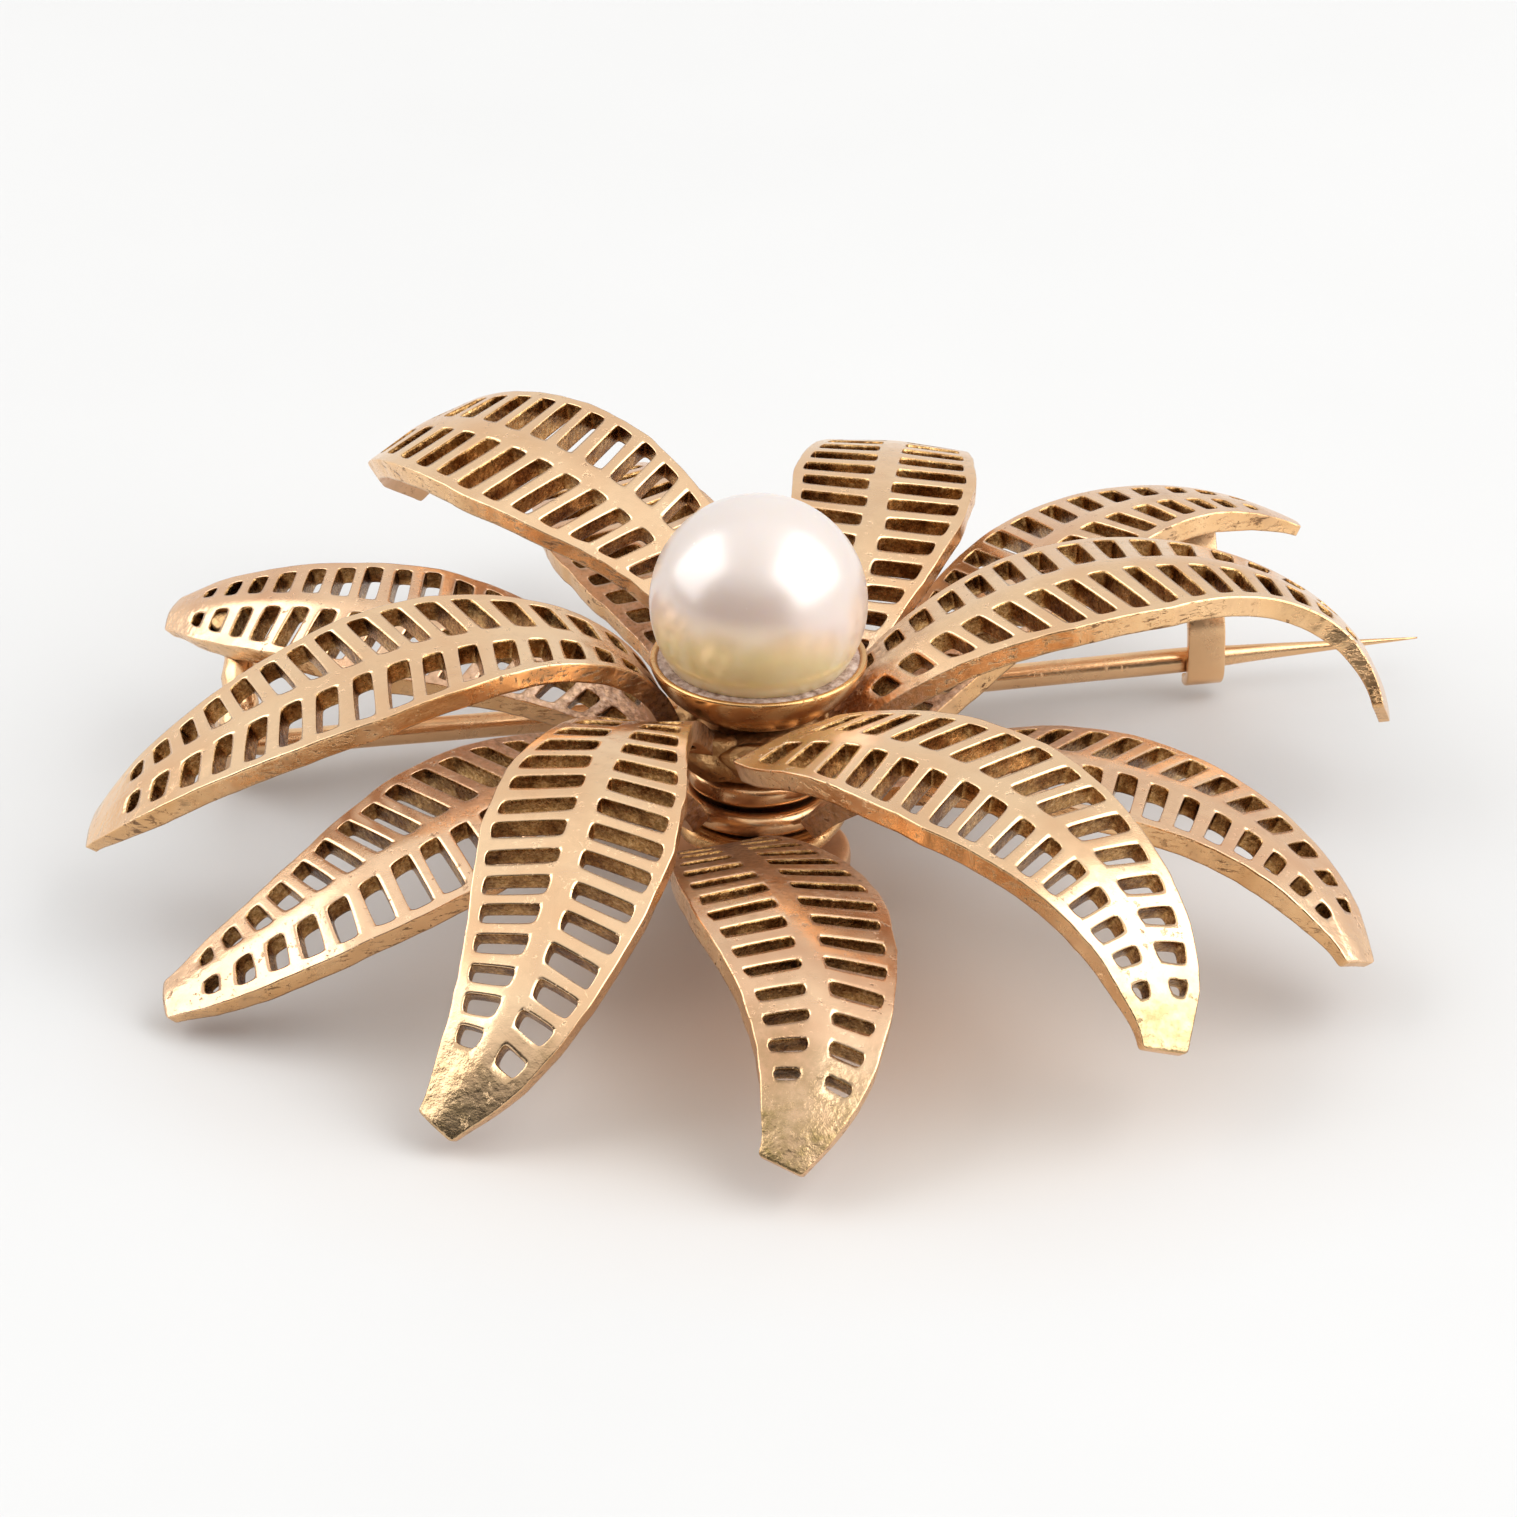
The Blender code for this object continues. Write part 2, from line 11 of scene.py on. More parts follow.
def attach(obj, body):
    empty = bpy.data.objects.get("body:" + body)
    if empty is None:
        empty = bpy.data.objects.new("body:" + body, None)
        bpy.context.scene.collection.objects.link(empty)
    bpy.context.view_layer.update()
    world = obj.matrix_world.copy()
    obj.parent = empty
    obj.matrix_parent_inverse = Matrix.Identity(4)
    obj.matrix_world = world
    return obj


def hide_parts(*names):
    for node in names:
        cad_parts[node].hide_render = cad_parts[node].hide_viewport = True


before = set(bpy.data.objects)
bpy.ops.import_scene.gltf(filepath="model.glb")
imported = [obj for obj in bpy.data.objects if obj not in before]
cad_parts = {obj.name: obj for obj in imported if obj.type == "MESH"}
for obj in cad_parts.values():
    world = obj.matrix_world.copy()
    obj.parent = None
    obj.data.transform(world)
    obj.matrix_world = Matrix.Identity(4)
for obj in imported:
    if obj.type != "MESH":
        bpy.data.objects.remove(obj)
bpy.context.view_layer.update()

MM = 0.001
ROOT = "spray"
STEM = "stem"
rng = random.Random(7)

# ------------------------------------------------------------------ dimensions shared with the CAD
PEARL_Z, PEARL_R = 10.25, 3.75
LEAF_LENGTH, LEAF_THICK = 24.4, 0.75
SLOT_PITCH, SLOT_WIDTH, EDGE_BAND, CHEVRON = 1.23, 0.74, 0.36, 0.21
TIP_HALF, RIB_TIP, RIB_ROOT = 0.84, 0.36, 0.43
PROFILE_S = (0.0, 3.0, 6.0, 9.0, 12.0, 15.0, 19.0)
PROFILE_W = (0.54, 1.32, 1.94, 2.52, 2.93, 2.71, 1.80)
UPPER_ROOT_R, LOWER_ROOT_R = 2.40, 3.06
LEAVES = (
    ("upper_leaf_1", (-2.9, 0.3, -4.9), 184, 80, 13, (13.8, 3.3, 7.4), (1.8, -4.1), (-0.1, 0.2), (-5, 5), 2.7, 1.03),
    ("upper_leaf_2", (-0.4, 2.7, -4.8), 103, 52, 0, (4.4, 3.9, 12.5), (6.0, -6.3), (1.4, -0.6), (7, 5), 2.95, 1.02),
    ("upper_leaf_3", (1.35, 1.7, -5.0), 55, 37, 14, (4.4, 3.5, 9.5), (3.2, -2.5), (0.1, -0.2), (12, 1), 3.1, 1.00),
    ("upper_leaf_4", (1.8, 0.1, -5.4), 357, 63, 18, (11.0, 2.7, 13.8), (4.1, -7.7), (0.6, -1.6), (15, 1), 3.0, 1.05),
    ("upper_leaf_5", (-0.3, -2.8, -5.2), 270, 54, 40, (9.2, 3.4, 5.5), (4.6, -5.8), (-0.6, 0.2), (7, -2), 2.0, 1.03),
    ("upper_leaf_6", (-2.1, -1.2, -4.9), 222, 46, 27, (7.3, 4.0, 3.8), (4.2, -5.3), (-1.3, 0.4), (-6, 11), 3.1, 1.01),
    ("lower_leaf_1", (-2.2, 1.6, -7.9), 145, 53, 4, (6.0, 3.1, 6.5), (3.4, -2.8), (-0.2, -1.6), (5, 15), 2.0, 0.91),
    ("lower_leaf_2", (-2.1, -1.2, -8.0), 212, 72, 4, (11.9, 3.3, 5.2), (2.4, -4.7), (-0.4, 0.4), (-4, 10), 1.9, 1.00),
    ("lower_leaf_3", (-1.0, -1.5, -8.4), 255, 32, 24, (3.2, 3.0, 6.5), (4.9, -6.1), (-2.1, 1.6), (-3, 7), 3.1, 1.01),
    ("lower_leaf_4", (1.4, -1.5, -8.0), 316, 62, 8, (8.5, 3.3, 6.3), (3.7, -4.5), (0.9, -0.8), (6, 5), 2.0, 1.00),
    ("lower_leaf_5", (2.4, 2.2, -7.9), 42, 25, -2, (-1.6, 3.0, 5.3), (2.0, -4.4), (-0.4, -0.1), (8, 4), 2.2, 0.95),
    ("lower_leaf_6", (-0.5, 2.2, -7.9), 98, 50, 0, (5.0, 3.4, 6.0), (3.5, -4.8), (0.2, -0.2), (3, 3), 2.2, 0.95),
)


# ------------------------------------------------------------------ small node helpers
class Mat:
    """A material being wired up; every method returns an output socket."""

    def __init__(self, name):
        self.m = bpy.data.materials.new(name)
        self.m.use_nodes = True
        self.nt = self.m.node_tree
        self.n = self.nt.nodes
        self.bsdf = self.n["Principled BSDF"]
        self.out = self.n["Material Output"]
        self.co = self.n.new("ShaderNodeTexCoord").outputs["Object"]

    def link(self, a, b):
        self.nt.links.new(a, b)

    def noise(self, scale, detail=4.0, rough=0.55, distort=0.0, vec=None):
        t = self.n.new("ShaderNodeTexNoise")
        t.inputs["Scale"].default_value = scale
        t.inputs["Detail"].default_value = detail
        t.inputs["Roughness"].default_value = rough
        t.inputs["Distortion"].default_value = distort
        self.link(vec or self.co, t.inputs["Vector"])
        return t.outputs["Fac"]

    def voronoi(self, scale, vec=None, feature="F1"):
        t = self.n.new("ShaderNodeTexVoronoi")
        t.feature = feature
        t.inputs["Scale"].default_value = scale
        self.link(vec or self.co, t.inputs["Vector"])
        return t.outputs["Distance"]

    def ramp(self, fac, stops, interp="LINEAR"):
        r = self.n.new("ShaderNodeValToRGB")
        r.color_ramp.interpolation = interp
        e = r.color_ramp.elements
        while len(e) < len(stops):
            e.new(0.5)
        for k, (p, c) in zip(e, stops):
            k.position = p
            k.color = (*c, 1.0) if isinstance(c, tuple) else (c, c, c, 1.0)
        self.link(fac, r.inputs["Fac"])
        return r.outputs["Color"]

    def mix(self, fac, a, b, mode="MIX"):
        x = self.n.new("ShaderNodeMix")
        x.data_type = "RGBA"
        x.blend_type = mode
        for sock, v in ((x.inputs[0], fac), (x.inputs[6], a), (x.inputs[7], b)):
            if isinstance(v, (int, float)):
                sock.default_value = v if sock == x.inputs[0] else (v, v, v, 1.0)
            elif isinstance(v, tuple):
                sock.default_value = (*v, 1.0)
            else:
                self.link(v, sock)
        return x.outputs[2]

    def math(self, op, a, b=0.0, c=0.0, clamp=False):
        x = self.n.new("ShaderNodeMath")
        x.operation = op
        x.use_clamp = clamp
        for sock, v in zip(x.inputs, (a, b, c)):
            if isinstance(v, (int, float)):
                sock.default_value = v
            else:
                self.link(v, sock)
        return x.outputs[0]

    def ao(self, dist, samples=6, inside=False):
        a = self.n.new("ShaderNodeAmbientOcclusion")
        a.samples = samples
        a.inside = inside
        a.inputs["Distance"].default_value = dist
        return a.outputs["AO"]

    def bump(self, height, strength, dist, normal=None):
        b = self.n.new("ShaderNodeBump")
        b.inputs["Strength"].default_value = strength
        b.inputs["Distance"].default_value = dist
        self.link(height, b.inputs["Height"])
        if normal is not None:
            self.link(normal, b.inputs["Normal"])
        return b.outputs["Normal"]


GOLD = (0.90, 0.63, 0.40)
GOLD_WARM = (0.86, 0.55, 0.31)
GOLD_PINK = (0.78, 0.50, 0.36)
OXIDE = (0.16, 0.075, 0.035)


def gold(name, light=GOLD, deep=GOLD_WARM, rough=0.16, wave=0.5, grain=0.0, dirt=0.5, pits=0.0, tarnish=0.2,
         dust=None, lumps=None, occlude=0.0005, streaks=0.0):
    """Worn polished gold: soft waves left by polishing, oxide in the corners, pits, fine scratches.
    dust: (inner, outer) radius in mm within which the surface is matt and brown.
    lumps: (inner, outer) radius in mm beyond which the casting is left lumpy, and on the tips towards the camera
    painted darker as a painted dark reflection."""
    k = Mat(name)
    b = k.bsdf
    b.inputs["Metallic"].default_value = 1.0
    tone = k.ramp(k.noise(260.0, 3.0, 0.55), [(0.30, deep), (0.62, light)])
    film = k.ramp(k.noise(520.0, 5.0, 0.65, 0.4), [(0.50, 0.0), (0.74, 1.0)])
    tone = k.mix(k.math("MULTIPLY", film, tarnish), tone, (0.55, 0.33, 0.19))
    corner = k.ramp(k.ao(occlude, 6), [(0.30, 1.0), (0.80, 0.0)])
    speck = k.ramp(k.noise(4200.0, 4.0, 0.7), [(0.35, 0.35), (0.65, 1.0)])
    soil = k.math("MULTIPLY", corner, k.math("MULTIPLY", speck, dirt), clamp=True)
    tone = k.mix(soil, tone, OXIDE)
    height = k.math("MULTIPLY", k.noise(420.0, 2.0, 0.5), wave)
    if grain:
        height = k.math("ADD", height, k.math("MULTIPLY", k.noise(3400.0, 4.0, 0.6), grain))
    if streaks:
        along = k.n.new("ShaderNodeMapping")
        along.inputs["Scale"].default_value = (1.0, 1.0, 4.5)
        k.link(k.co, along.inputs["Vector"])
        flaw = k.ramp(k.noise(1500.0, 5.0, 0.75, vec=along.outputs["Vector"]), [(0.56, 0.0), (0.62, 1.0)])
        zone = k.ramp(k.noise(300.0, 3.0, 0.6), [(0.40, 0.0), (0.56, 1.0)])
        flaw = k.math("MULTIPLY", k.math("MULTIPLY", flaw, zone), streaks, clamp=True)
        tone = k.mix(flaw, tone, OXIDE)
        height = k.math("SUBTRACT", height, k.math("MULTIPLY", flaw, 0.6))
    pit = None
    if pits:
        spots = k.ramp(k.noise(2900.0, 5.0, 0.72), [(0.60, 0.0), (0.66, 1.0)])
        where = k.ramp(k.noise(420.0, 3.0, 0.6), [(0.42, 0.0), (0.60, 1.0)])
        pit = k.math("MULTIPLY", k.math("MULTIPLY", spots, where), pits, clamp=True)
        tone = k.mix(pit, tone, OXIDE)
        height = k.math("SUBTRACT", height, k.math("MULTIPLY", pit, 0.8))
    radius = None
    if dust or lumps:
        flat = k.n.new("ShaderNodeVectorMath")
        flat.operation = "MULTIPLY"
        flat.inputs[1].default_value = (1000.0, 1000.0, 0.0)
        k.link(k.co, flat.inputs[0])
        size = k.n.new("ShaderNodeVectorMath")
        size.operation = "LENGTH"
        k.link(flat.outputs["Vector"], size.inputs[0])
        radius = k.math("ADD", size.outputs["Value"], k.math("MULTIPLY_ADD", k.noise(330.0, 4.0, 0.6), 7.0, -3.5))
    cover = None
    if dust:
        near = k.math("DIVIDE", k.math("SUBTRACT", dust[1], radius), dust[1] - dust[0], clamp=True)
        fleck = k.ramp(k.noise(5200.0, 3.0, 0.7), [(0.34, 0.35), (0.60, 1.0)])
        cover = k.math("MULTIPLY", near, fleck, clamp=True)
        brown = k.ramp(k.noise(3800.0, 3.0, 0.7), [(0.30, (0.20, 0.105, 0.06)), (0.52, (0.50, 0.32, 0.22)), (0.72, (0.74, 0.56, 0.45))])
        tone = k.mix(cover, tone, brown)
        height = k.math("ADD", height, k.math("MULTIPLY", cover, k.math("MULTIPLY", k.noise(5200.0, 3.0, 0.7), 0.55)))
    if lumps:
        far = k.math("DIVIDE", k.math("SUBTRACT", radius, lumps[0]), lumps[1] - lumps[0], clamp=True)
        lump = k.ramp(k.noise(1250.0, 3.0, 0.5, 0.3), [(0.35, 0.0), (0.65, 1.0)])
        height = k.math("ADD", height, k.math("MULTIPLY", far, k.math("MULTIPLY", lump, 0.45)))
        part = k.n.new("ShaderNodeSeparateXYZ")
        k.link(k.co, part.inputs[0])
        # Tips towards the camera (Y below about -15.8 mm) are pulled to olive brown: a painted dark reflection of the
        # unlit side of the room. The same mask also roughens the bump, which is real casting grain.
        fore = k.math("MULTIPLY_ADD", part.outputs["Y"], -330.0, -5.2, clamp=True)
        tip_grain_and_painted_dark = k.math("MULTIPLY", k.math("MULTIPLY", far, fore), k.ramp(k.noise(1500.0, 4.0, 0.65), [(0.36, 1.0), (0.66, 0.35)]), clamp=True)
        tone = k.mix(tip_grain_and_painted_dark, tone, (0.34, 0.235, 0.10))
        height = k.math("ADD", height, k.math("MULTIPLY", tip_grain_and_painted_dark, k.math("MULTIPLY", k.noise(3600.0, 4.0, 0.7), 0.9)))
    scr = k.n.new("ShaderNodeMapping")
    scr.inputs["Scale"].default_value = (1.0, 9.0, 3.0)
    scr.inputs["Rotation"].default_value = (0.3, 0.5, 0.9)
    k.link(k.co, scr.inputs["Vector"])
    fine = k.noise(2600.0, 3.0, 0.6, vec=scr.outputs["Vector"])
    height = k.math("ADD", height, k.math("MULTIPLY", fine, 0.035))
    k.link(tone, b.inputs["Base Color"])
    r = k.math("ADD", rough, k.math("MULTIPLY", fine, 0.10))
    r = k.math("ADD", r, k.math("MULTIPLY", film, 0.12))
    r = k.math("ADD", r, k.math("MULTIPLY", soil, 0.35), clamp=True)
    if pit is not None:
        r = k.math("ADD", r, k.math("MULTIPLY", pit, 0.3), clamp=True)
    if cover is not None:
        r = k.math("ADD", r, k.math("MULTIPLY", cover, 0.26), clamp=True)
    k.link(r, b.inputs["Roughness"])
    k.link(k.bump(height, 0.55, 0.00012), b.inputs["Normal"])
    return k.m


def slot_gold(name):
    """The sawn walls of the slots: granular, brown-gold, with painted shade that makes them nearly black towards the
    bottom corners.
    """
    k = Mat(name)
    b = k.bsdf
    b.inputs["Metallic"].default_value = 1.0
    grains = k.noise(7000.0, 4.0, 0.7)
    tone = k.ramp(grains, [(0.30, (0.26, 0.13, 0.04)), (0.50, (0.60, 0.345, 0.125)), (0.68, (0.94, 0.62, 0.30))])
    patch = k.ramp(k.noise(900.0, 4.0, 0.6), [(0.38, (0.34, 0.24, 0.16)), (0.60, (1.0, 1.0, 1.0))])
    tone = k.mix(1.0, tone, patch, "MULTIPLY")
    # painted shade: ambient occlusion multiplies the slot walls towards near black in their recesses
    deep = k.ramp(k.ao(0.0009, 8), [(0.22, (0.05, 0.035, 0.03)), (0.58, (1.0, 1.0, 1.0))])
    tone = k.mix(1.0, tone, deep, "MULTIPLY")
    k.link(tone, b.inputs["Base Color"])
    k.link(k.ramp(k.noise(5000.0, 3.0, 0.6), [(0.3, 0.36), (0.7, 0.18)]), b.inputs["Roughness"])
    h = k.math("ADD", k.math("MULTIPLY", k.noise(2600.0, 4.0, 0.65), 1.0), k.math("MULTIPLY", grains, 0.55))
    k.link(k.bump(h, 0.50, 0.00010), b.inputs["Normal"])
    return k.m


def nacre(name):
    """Cultured pearl: pinkish grey body, painted creamy yellow towards the cup as a painted reflection of the gold
    below, a soft deep shine under a sharper one.
    """
    k = Mat(name)
    b = k.bsdf
    sep = k.n.new("ShaderNodeSeparateXYZ")
    k.link(k.co, sep.inputs[0])
    z = k.math("MULTIPLY", k.math("SUBTRACT", sep.outputs["Z"], PEARL_Z * MM), 0.903 / (PEARL_R * MM))
    z = k.math("ADD", z, k.math("MULTIPLY", sep.outputs["Y"], 0.407 / (PEARL_R * MM)))
    z = k.math("ADD", z, k.math("MULTIPLY", sep.outputs["X"], 0.133 / (PEARL_R * MM)))
    z = k.math("ADD", z, k.math("MULTIPLY_ADD", k.noise(170.0, 2.0, 0.5), 0.20, -0.10))
    # z runs up the pearl along an axis leaning towards the camera's up; the yellow at its low end is a painted
    # reflection of the gold leaves, the greys above are the nacre's own tone
    body = k.ramp(k.math("MULTIPLY_ADD", z, 0.5, 0.5), [(0.0, (1.0, 0.82, 0.32)), (0.26, (1.0, 0.82, 0.40)), (0.335, (0.95, 0.74, 0.46)),
                                                       (0.435, (0.72, 0.56, 0.48)), (0.60, (0.64, 0.52, 0.46)), (1.0, (0.60, 0.53, 0.50))])
    cloud = k.ramp(k.noise(380.0, 3.0, 0.5), [(0.35, (0.66, 0.54, 0.46)), (0.65, (0.76, 0.68, 0.62))])
    body = k.mix(0.14, body, cloud)
    dot = k.ramp(k.voronoi(900.0), [(0.02, 0.0), (0.05, 1.0)])
    body = k.mix(k.math("MULTIPLY", k.math("SUBTRACT", 1.0, dot), 0.5), body, (0.95, 0.90, 0.84))
    k.link(body, b.inputs["Base Color"])
    b.inputs["Roughness"].default_value = 0.34
    b.inputs["IOR"].default_value = 2.1
    b.inputs["Specular IOR Level"].default_value = 1.0
    b.inputs["Subsurface Weight"].default_value = 0.50
    b.inputs["Subsurface Radius"].default_value = (0.0030, 0.0021, 0.0010)
    b.inputs["Subsurface Scale"].default_value = 1.0
    b.inputs["Coat Weight"].default_value = 0.80
    b.inputs["Coat Roughness"].default_value = 0.20
    b.inputs["Coat IOR"].default_value = 1.6
    b.inputs["Sheen Weight"].default_value = 0.10
    b.inputs["Sheen Tint"].default_value = (1.0, 0.88, 0.86, 1.0)
    h = k.math("ADD", k.math("MULTIPLY", k.noise(260.0, 2.0, 0.5), 1.0), k.math("MULTIPLY", k.noise(3000.0, 3.0, 0.6), 0.04))
    h = k.math("ADD", h, k.math("MULTIPLY", dot, 0.10))
    k.link(k.bump(h, 0.25, 0.00008), b.inputs["Normal"])
    return k.m


# ------------------------------------------------------------------ leaves
def leaf_frames(row, steps=96):
    _, (bx, by, bz), head, pitch, roll, arch, sickle, twist, _, _, scale = row
    h, p, r = (math.radians(v) for v in (head, pitch, roll))
    t = Vector((math.cos(h) * math.cos(p), math.sin(h) * math.cos(p), math.sin(p)))
    side = Vector((-math.sin(h), math.cos(h), 0.0))
    n = t.cross(side)
    side = side * math.cos(r) + n * math.sin(r)
    n = t.cross(side)
    c = Vector((bx, by, bz + PEARL_Z))
    ds = LEAF_LENGTH * scale / steps
    a0, a1, a2 = (math.radians(v) for v in arch)
    k0, k1 = (math.radians(v) for v in sickle)
    w0, w1 = (math.radians(v) for v in twist)
    out = [(c.copy(), t.copy(), side.copy(), n.copy())]
    for i in range(steps):
        q = (i + 0.5) / steps * 2 - 1
        kn = a1 + (a2 - a0) / 2 * q + ((a2 + a0) / 2 - a1) * q * q
        kg = (k0 + k1) / 2 + (k1 - k0) / 2 * q
        tw = (w0 + w1) / 2 + (w1 - w0) / 2 * q
        w = n * kg + side * kn + t * tw
        m = Matrix.Rotation(w.length * ds, 3, w.normalized())
        t2 = m @ t
        c = c + (t + t2) * (ds / 2)
        t, side = t2, m @ side
        n = t.cross(side)
        out.append((c.copy(), t.copy(), side.copy(), n.copy()))
    return out


def straighten(row, frames, s0, lift=0.0):
    """Let a leaf run on straight from s0 to its root, raised by lift mm where it meets the cup."""
    k = int((1.0 - s0 / LEAF_LENGTH) * (len(frames) - 1))
    c, t, side, n = frames[k]
    ds = LEAF_LENGTH * row[10] / (len(frames) - 1)
    out = list(frames)
    for i in range(k):
        d = (k - i) * ds
        out[i] = (c - t * d + n * (lift * (d / (k * ds)) ** 2), t, side, n)
    return out


def leaf_point(row, frames, s, lat, depth=0.0):
    scale = row[10]
    u = 1.0 - s / LEAF_LENGTH
    over = (min(u, 0.0) + max(u - 1.0, 0.0)) * LEAF_LENGTH * scale
    x = min(max(u, 0.0), 1.0) * (len(frames) - 1)
    i = min(int(x), len(frames) - 2)
    f = x - i
    c, t, side, n = (frames[i][k] * (1 - f) + frames[i + 1][k] * f for k in range(4))
    side.normalize()
    n.normalize()
    fold = math.radians(row[8][0] + (row[8][1] - row[8][0]) * max(u, 0.0))
    # the roof fold is eased over the rib instead of being a knife line
    a = abs(lat)
    e = 0.22
    roof = a if a > e else (a * a / (2 * e) + e / 2)
    return (c + t * over + side * (lat * scale * math.cos(fold))
            - n * (roof * scale * math.sin(fold) + depth))


def half_width(s):
    if s >= PROFILE_S[-1]:
        k = (PROFILE_W[-1] - PROFILE_W[-2]) / (PROFILE_S[-1] - PROFILE_S[-2])
        return max(0.35, PROFILE_W[-1] + k * (s - PROFILE_S[-1]))
    # rounded profile through the same points
    return float(np.interp(s, PROFILE_S, PROFILE_W)) + 0.05 * math.sin(math.pi * min(1.0, s / 12.0))


def root_distance(row, frames, limit):
    for i, fr in enumerate(frames):
        if math.hypot(fr[0].x, fr[0].y) >= limit:
            return LEAF_LENGTH * (1.0 - i / (len(frames) - 1))
    return LEAF_LENGTH


def new_mesh_object(name, bm, mats):
    me = bpy.data.meshes.new(name)
    bm.to_mesh(me)
    bm.free()
    ob = bpy.data.objects.new(name, me)
    bpy.context.scene.collection.objects.link(ob)
    for m in mats:
        me.materials.append(m)
    me.shade_smooth()
    return ob


def fine_leaf(row, mats, level):
    name = row[0]
    upper = name.startswith("upper")
    r = random.Random(sum(ord(c) for c in name))
    frames = leaf_frames(row)
    s_root = root_distance(row, frames, 1.95 if upper else 2.6)
    skew = 0.0
    if name == "upper_leaf_5":
        frames = straighten(row, frames, 19.0, 1.75)
        s_root, skew = 20.35, -0.42
    first = row[9]
    slots = []
    s = first
    while s + SLOT_WIDTH / 2 < s_root - (0.35 if skew else 1.2):
        ends = []
        for sgn in (-1, 1):
            ds = r.uniform(-0.05, 0.05)
            w = SLOT_WIDTH * r.uniform(0.90, 1.10) * (0.80 + 0.20 * min(1.0, s / 7.0)) * (0.74 if name == "lower_leaf_3" else 1.0)
            ends.append((s + ds - w / 2, s + ds + w / 2, r.uniform(-0.05, 0.05), r.uniform(-0.05, 0.06)))
        slots.append(ends)
        s += SLOT_PITCH
    rows = []          # (s_left, s_right, (d_ho_l, d_hi_l), (d_ho_r, d_hi_r), tag: open in a slot, else None)
    def add(sl, sr, l=(0, 0), rr=(0, 0), tag=None):
        rows.append((sl, sr, l, rr, tag))
    add(-0.22, -0.22)
    add(0.25, 0.25)
    if slots[0][0][0] > 1.6:
        add(first * 0.45, first * 0.45)
    c = 0.17
    for i, (L, R) in enumerate(slots):
        l, q = (L[2], L[3]), (R[2], R[3])
        add(L[0], R[0], l, q, "open")
        add(L[0] + c, R[0] + c, l, q, "open")
        add(L[1] - c, R[1] - c, l, q, "open")
        add(L[1], R[1], l, q, None)
    tail = rows[-1][0]
    n_tail = max(2, int((s_root - tail) / 0.8))
    for j in range(1, n_tail + 1):
        v = tail + (s_root - tail) * j / n_tail
        add(v, v)
    nx, ny = 12, len(rows) - 1
    starts = [j for j in range(ny + 1) if rows[j][4] == "open" and (j == 0 or rows[j - 1][4] != "open")]
    ends = [j + 3 for j in starts]
    top, low = [], []
    bm = bmesh.new()
    drift = sum(row[1])
    for j, (sl, sr, l, q, tag) in enumerate(rows):
        up_line, low_line = [], []
        for i in range(nx + 1):
            left = i >= nx / 2
            s = (sl if i > nx / 2 else sr if i < nx / 2 else (sl + sr) / 2)
            dho, dhi = (l if left else q)
            ho = half_width(s) + dho - 0.16 * max(0.0, 1.0 - s / 8.0)
            hi = RIB_TIP + (RIB_ROOT - RIB_TIP) * min(1.0, s / 19.0) + dhi
            edge = half_width(s) + EDGE_BAND
            if s < 1.2:
                e = max(0.0, s) / 1.2
                edge = TIP_HALF + (edge - TIP_HALF) * (e ** 0.7)
                ho = min(ho, edge * 0.80)
                hi = min(hi, edge * 0.40)
            if s > 19.0:
                ho = max(ho, hi + 0.15)
                edge = max(edge, ho + 0.25)
            a = min(0.17, (ho - hi) * 0.25)
            col = abs(i - nx // 2)
            lat = (0.0, hi, hi + a, ho - a, ho, ho + (edge - ho) * 0.5, edge)[col]
            if j in starts or j in ends:
                cut = min(0.05, (ho - hi) * 0.1)
                if col == 1:
                    lat += cut
                if col == 4:
                    lat -= cut
                if col in (1, 4):
                    s += 0.05 if j in starts else -0.05
            lat *= 1 if i >= nx // 2 else -1
            lean = CHEVRON * min(1.0, max(0.0, s) / 2.0) * max(0.0, min(1.0, (s_root - s) / 2.0))
            wob = 0.055 * noise.noise(Vector((s * 2.1, lat * 1.7, drift)))
            wos = 0.075 * noise.noise(Vector((s * 1.5 + 9.0, lat * 1.6, drift * 0.7)))
            slant = skew * lat * max(0.0, min(1.0, (s - 16.5) / 4.0))
            sink = Vector((0, 0, -0.45 * (max(0.0, s - 13.0) / 10.0) ** 1.5)) if name == "lower_leaf_3" else Vector()
            here = (s + slant - lean * abs(lat) + (wos if 0 < j < ny else 0.0), lat + (wob if abs(lat) > 0.5 else 0.0))
            lift = frames[48][3] * 0.035 * noise.noise(Vector((s * 0.35, lat * 0.5, row[2])))
            up_line.append(bm.verts.new((leaf_point(row, frames, *here) + lift + sink) * MM))
            thick = LEAF_THICK * (0.52 + 0.48 * max(0.0, min(1.0, s / 3.8)) ** 0.8)
            low_line.append(bm.verts.new((leaf_point(row, frames, *here, thick) + lift + sink) * MM))
        top.append(up_line)
        low.append(low_line)

    def solid(j, i):
        if not (0 <= j < ny and 0 <= i < nx):
            return None
        return not (rows[j][4] == "open" and i in (2, 3, 4, 7, 8, 9))

    half = {}

    def middle(j, i, rim):
        if (j, i) not in half:
            p = (top[j][i].co + low[j][i].co) / 2
            k = 0.055 if rim == 1 else 0.02
            side = frames[48][2] * noise.noise(p * 1900.0) + frames[48][1] * noise.noise(p * 1900.0 + Vector((5, 5, 5)))
            half[(j, i)] = bm.verts.new(p + side * k * MM)
        return half[(j, i)]

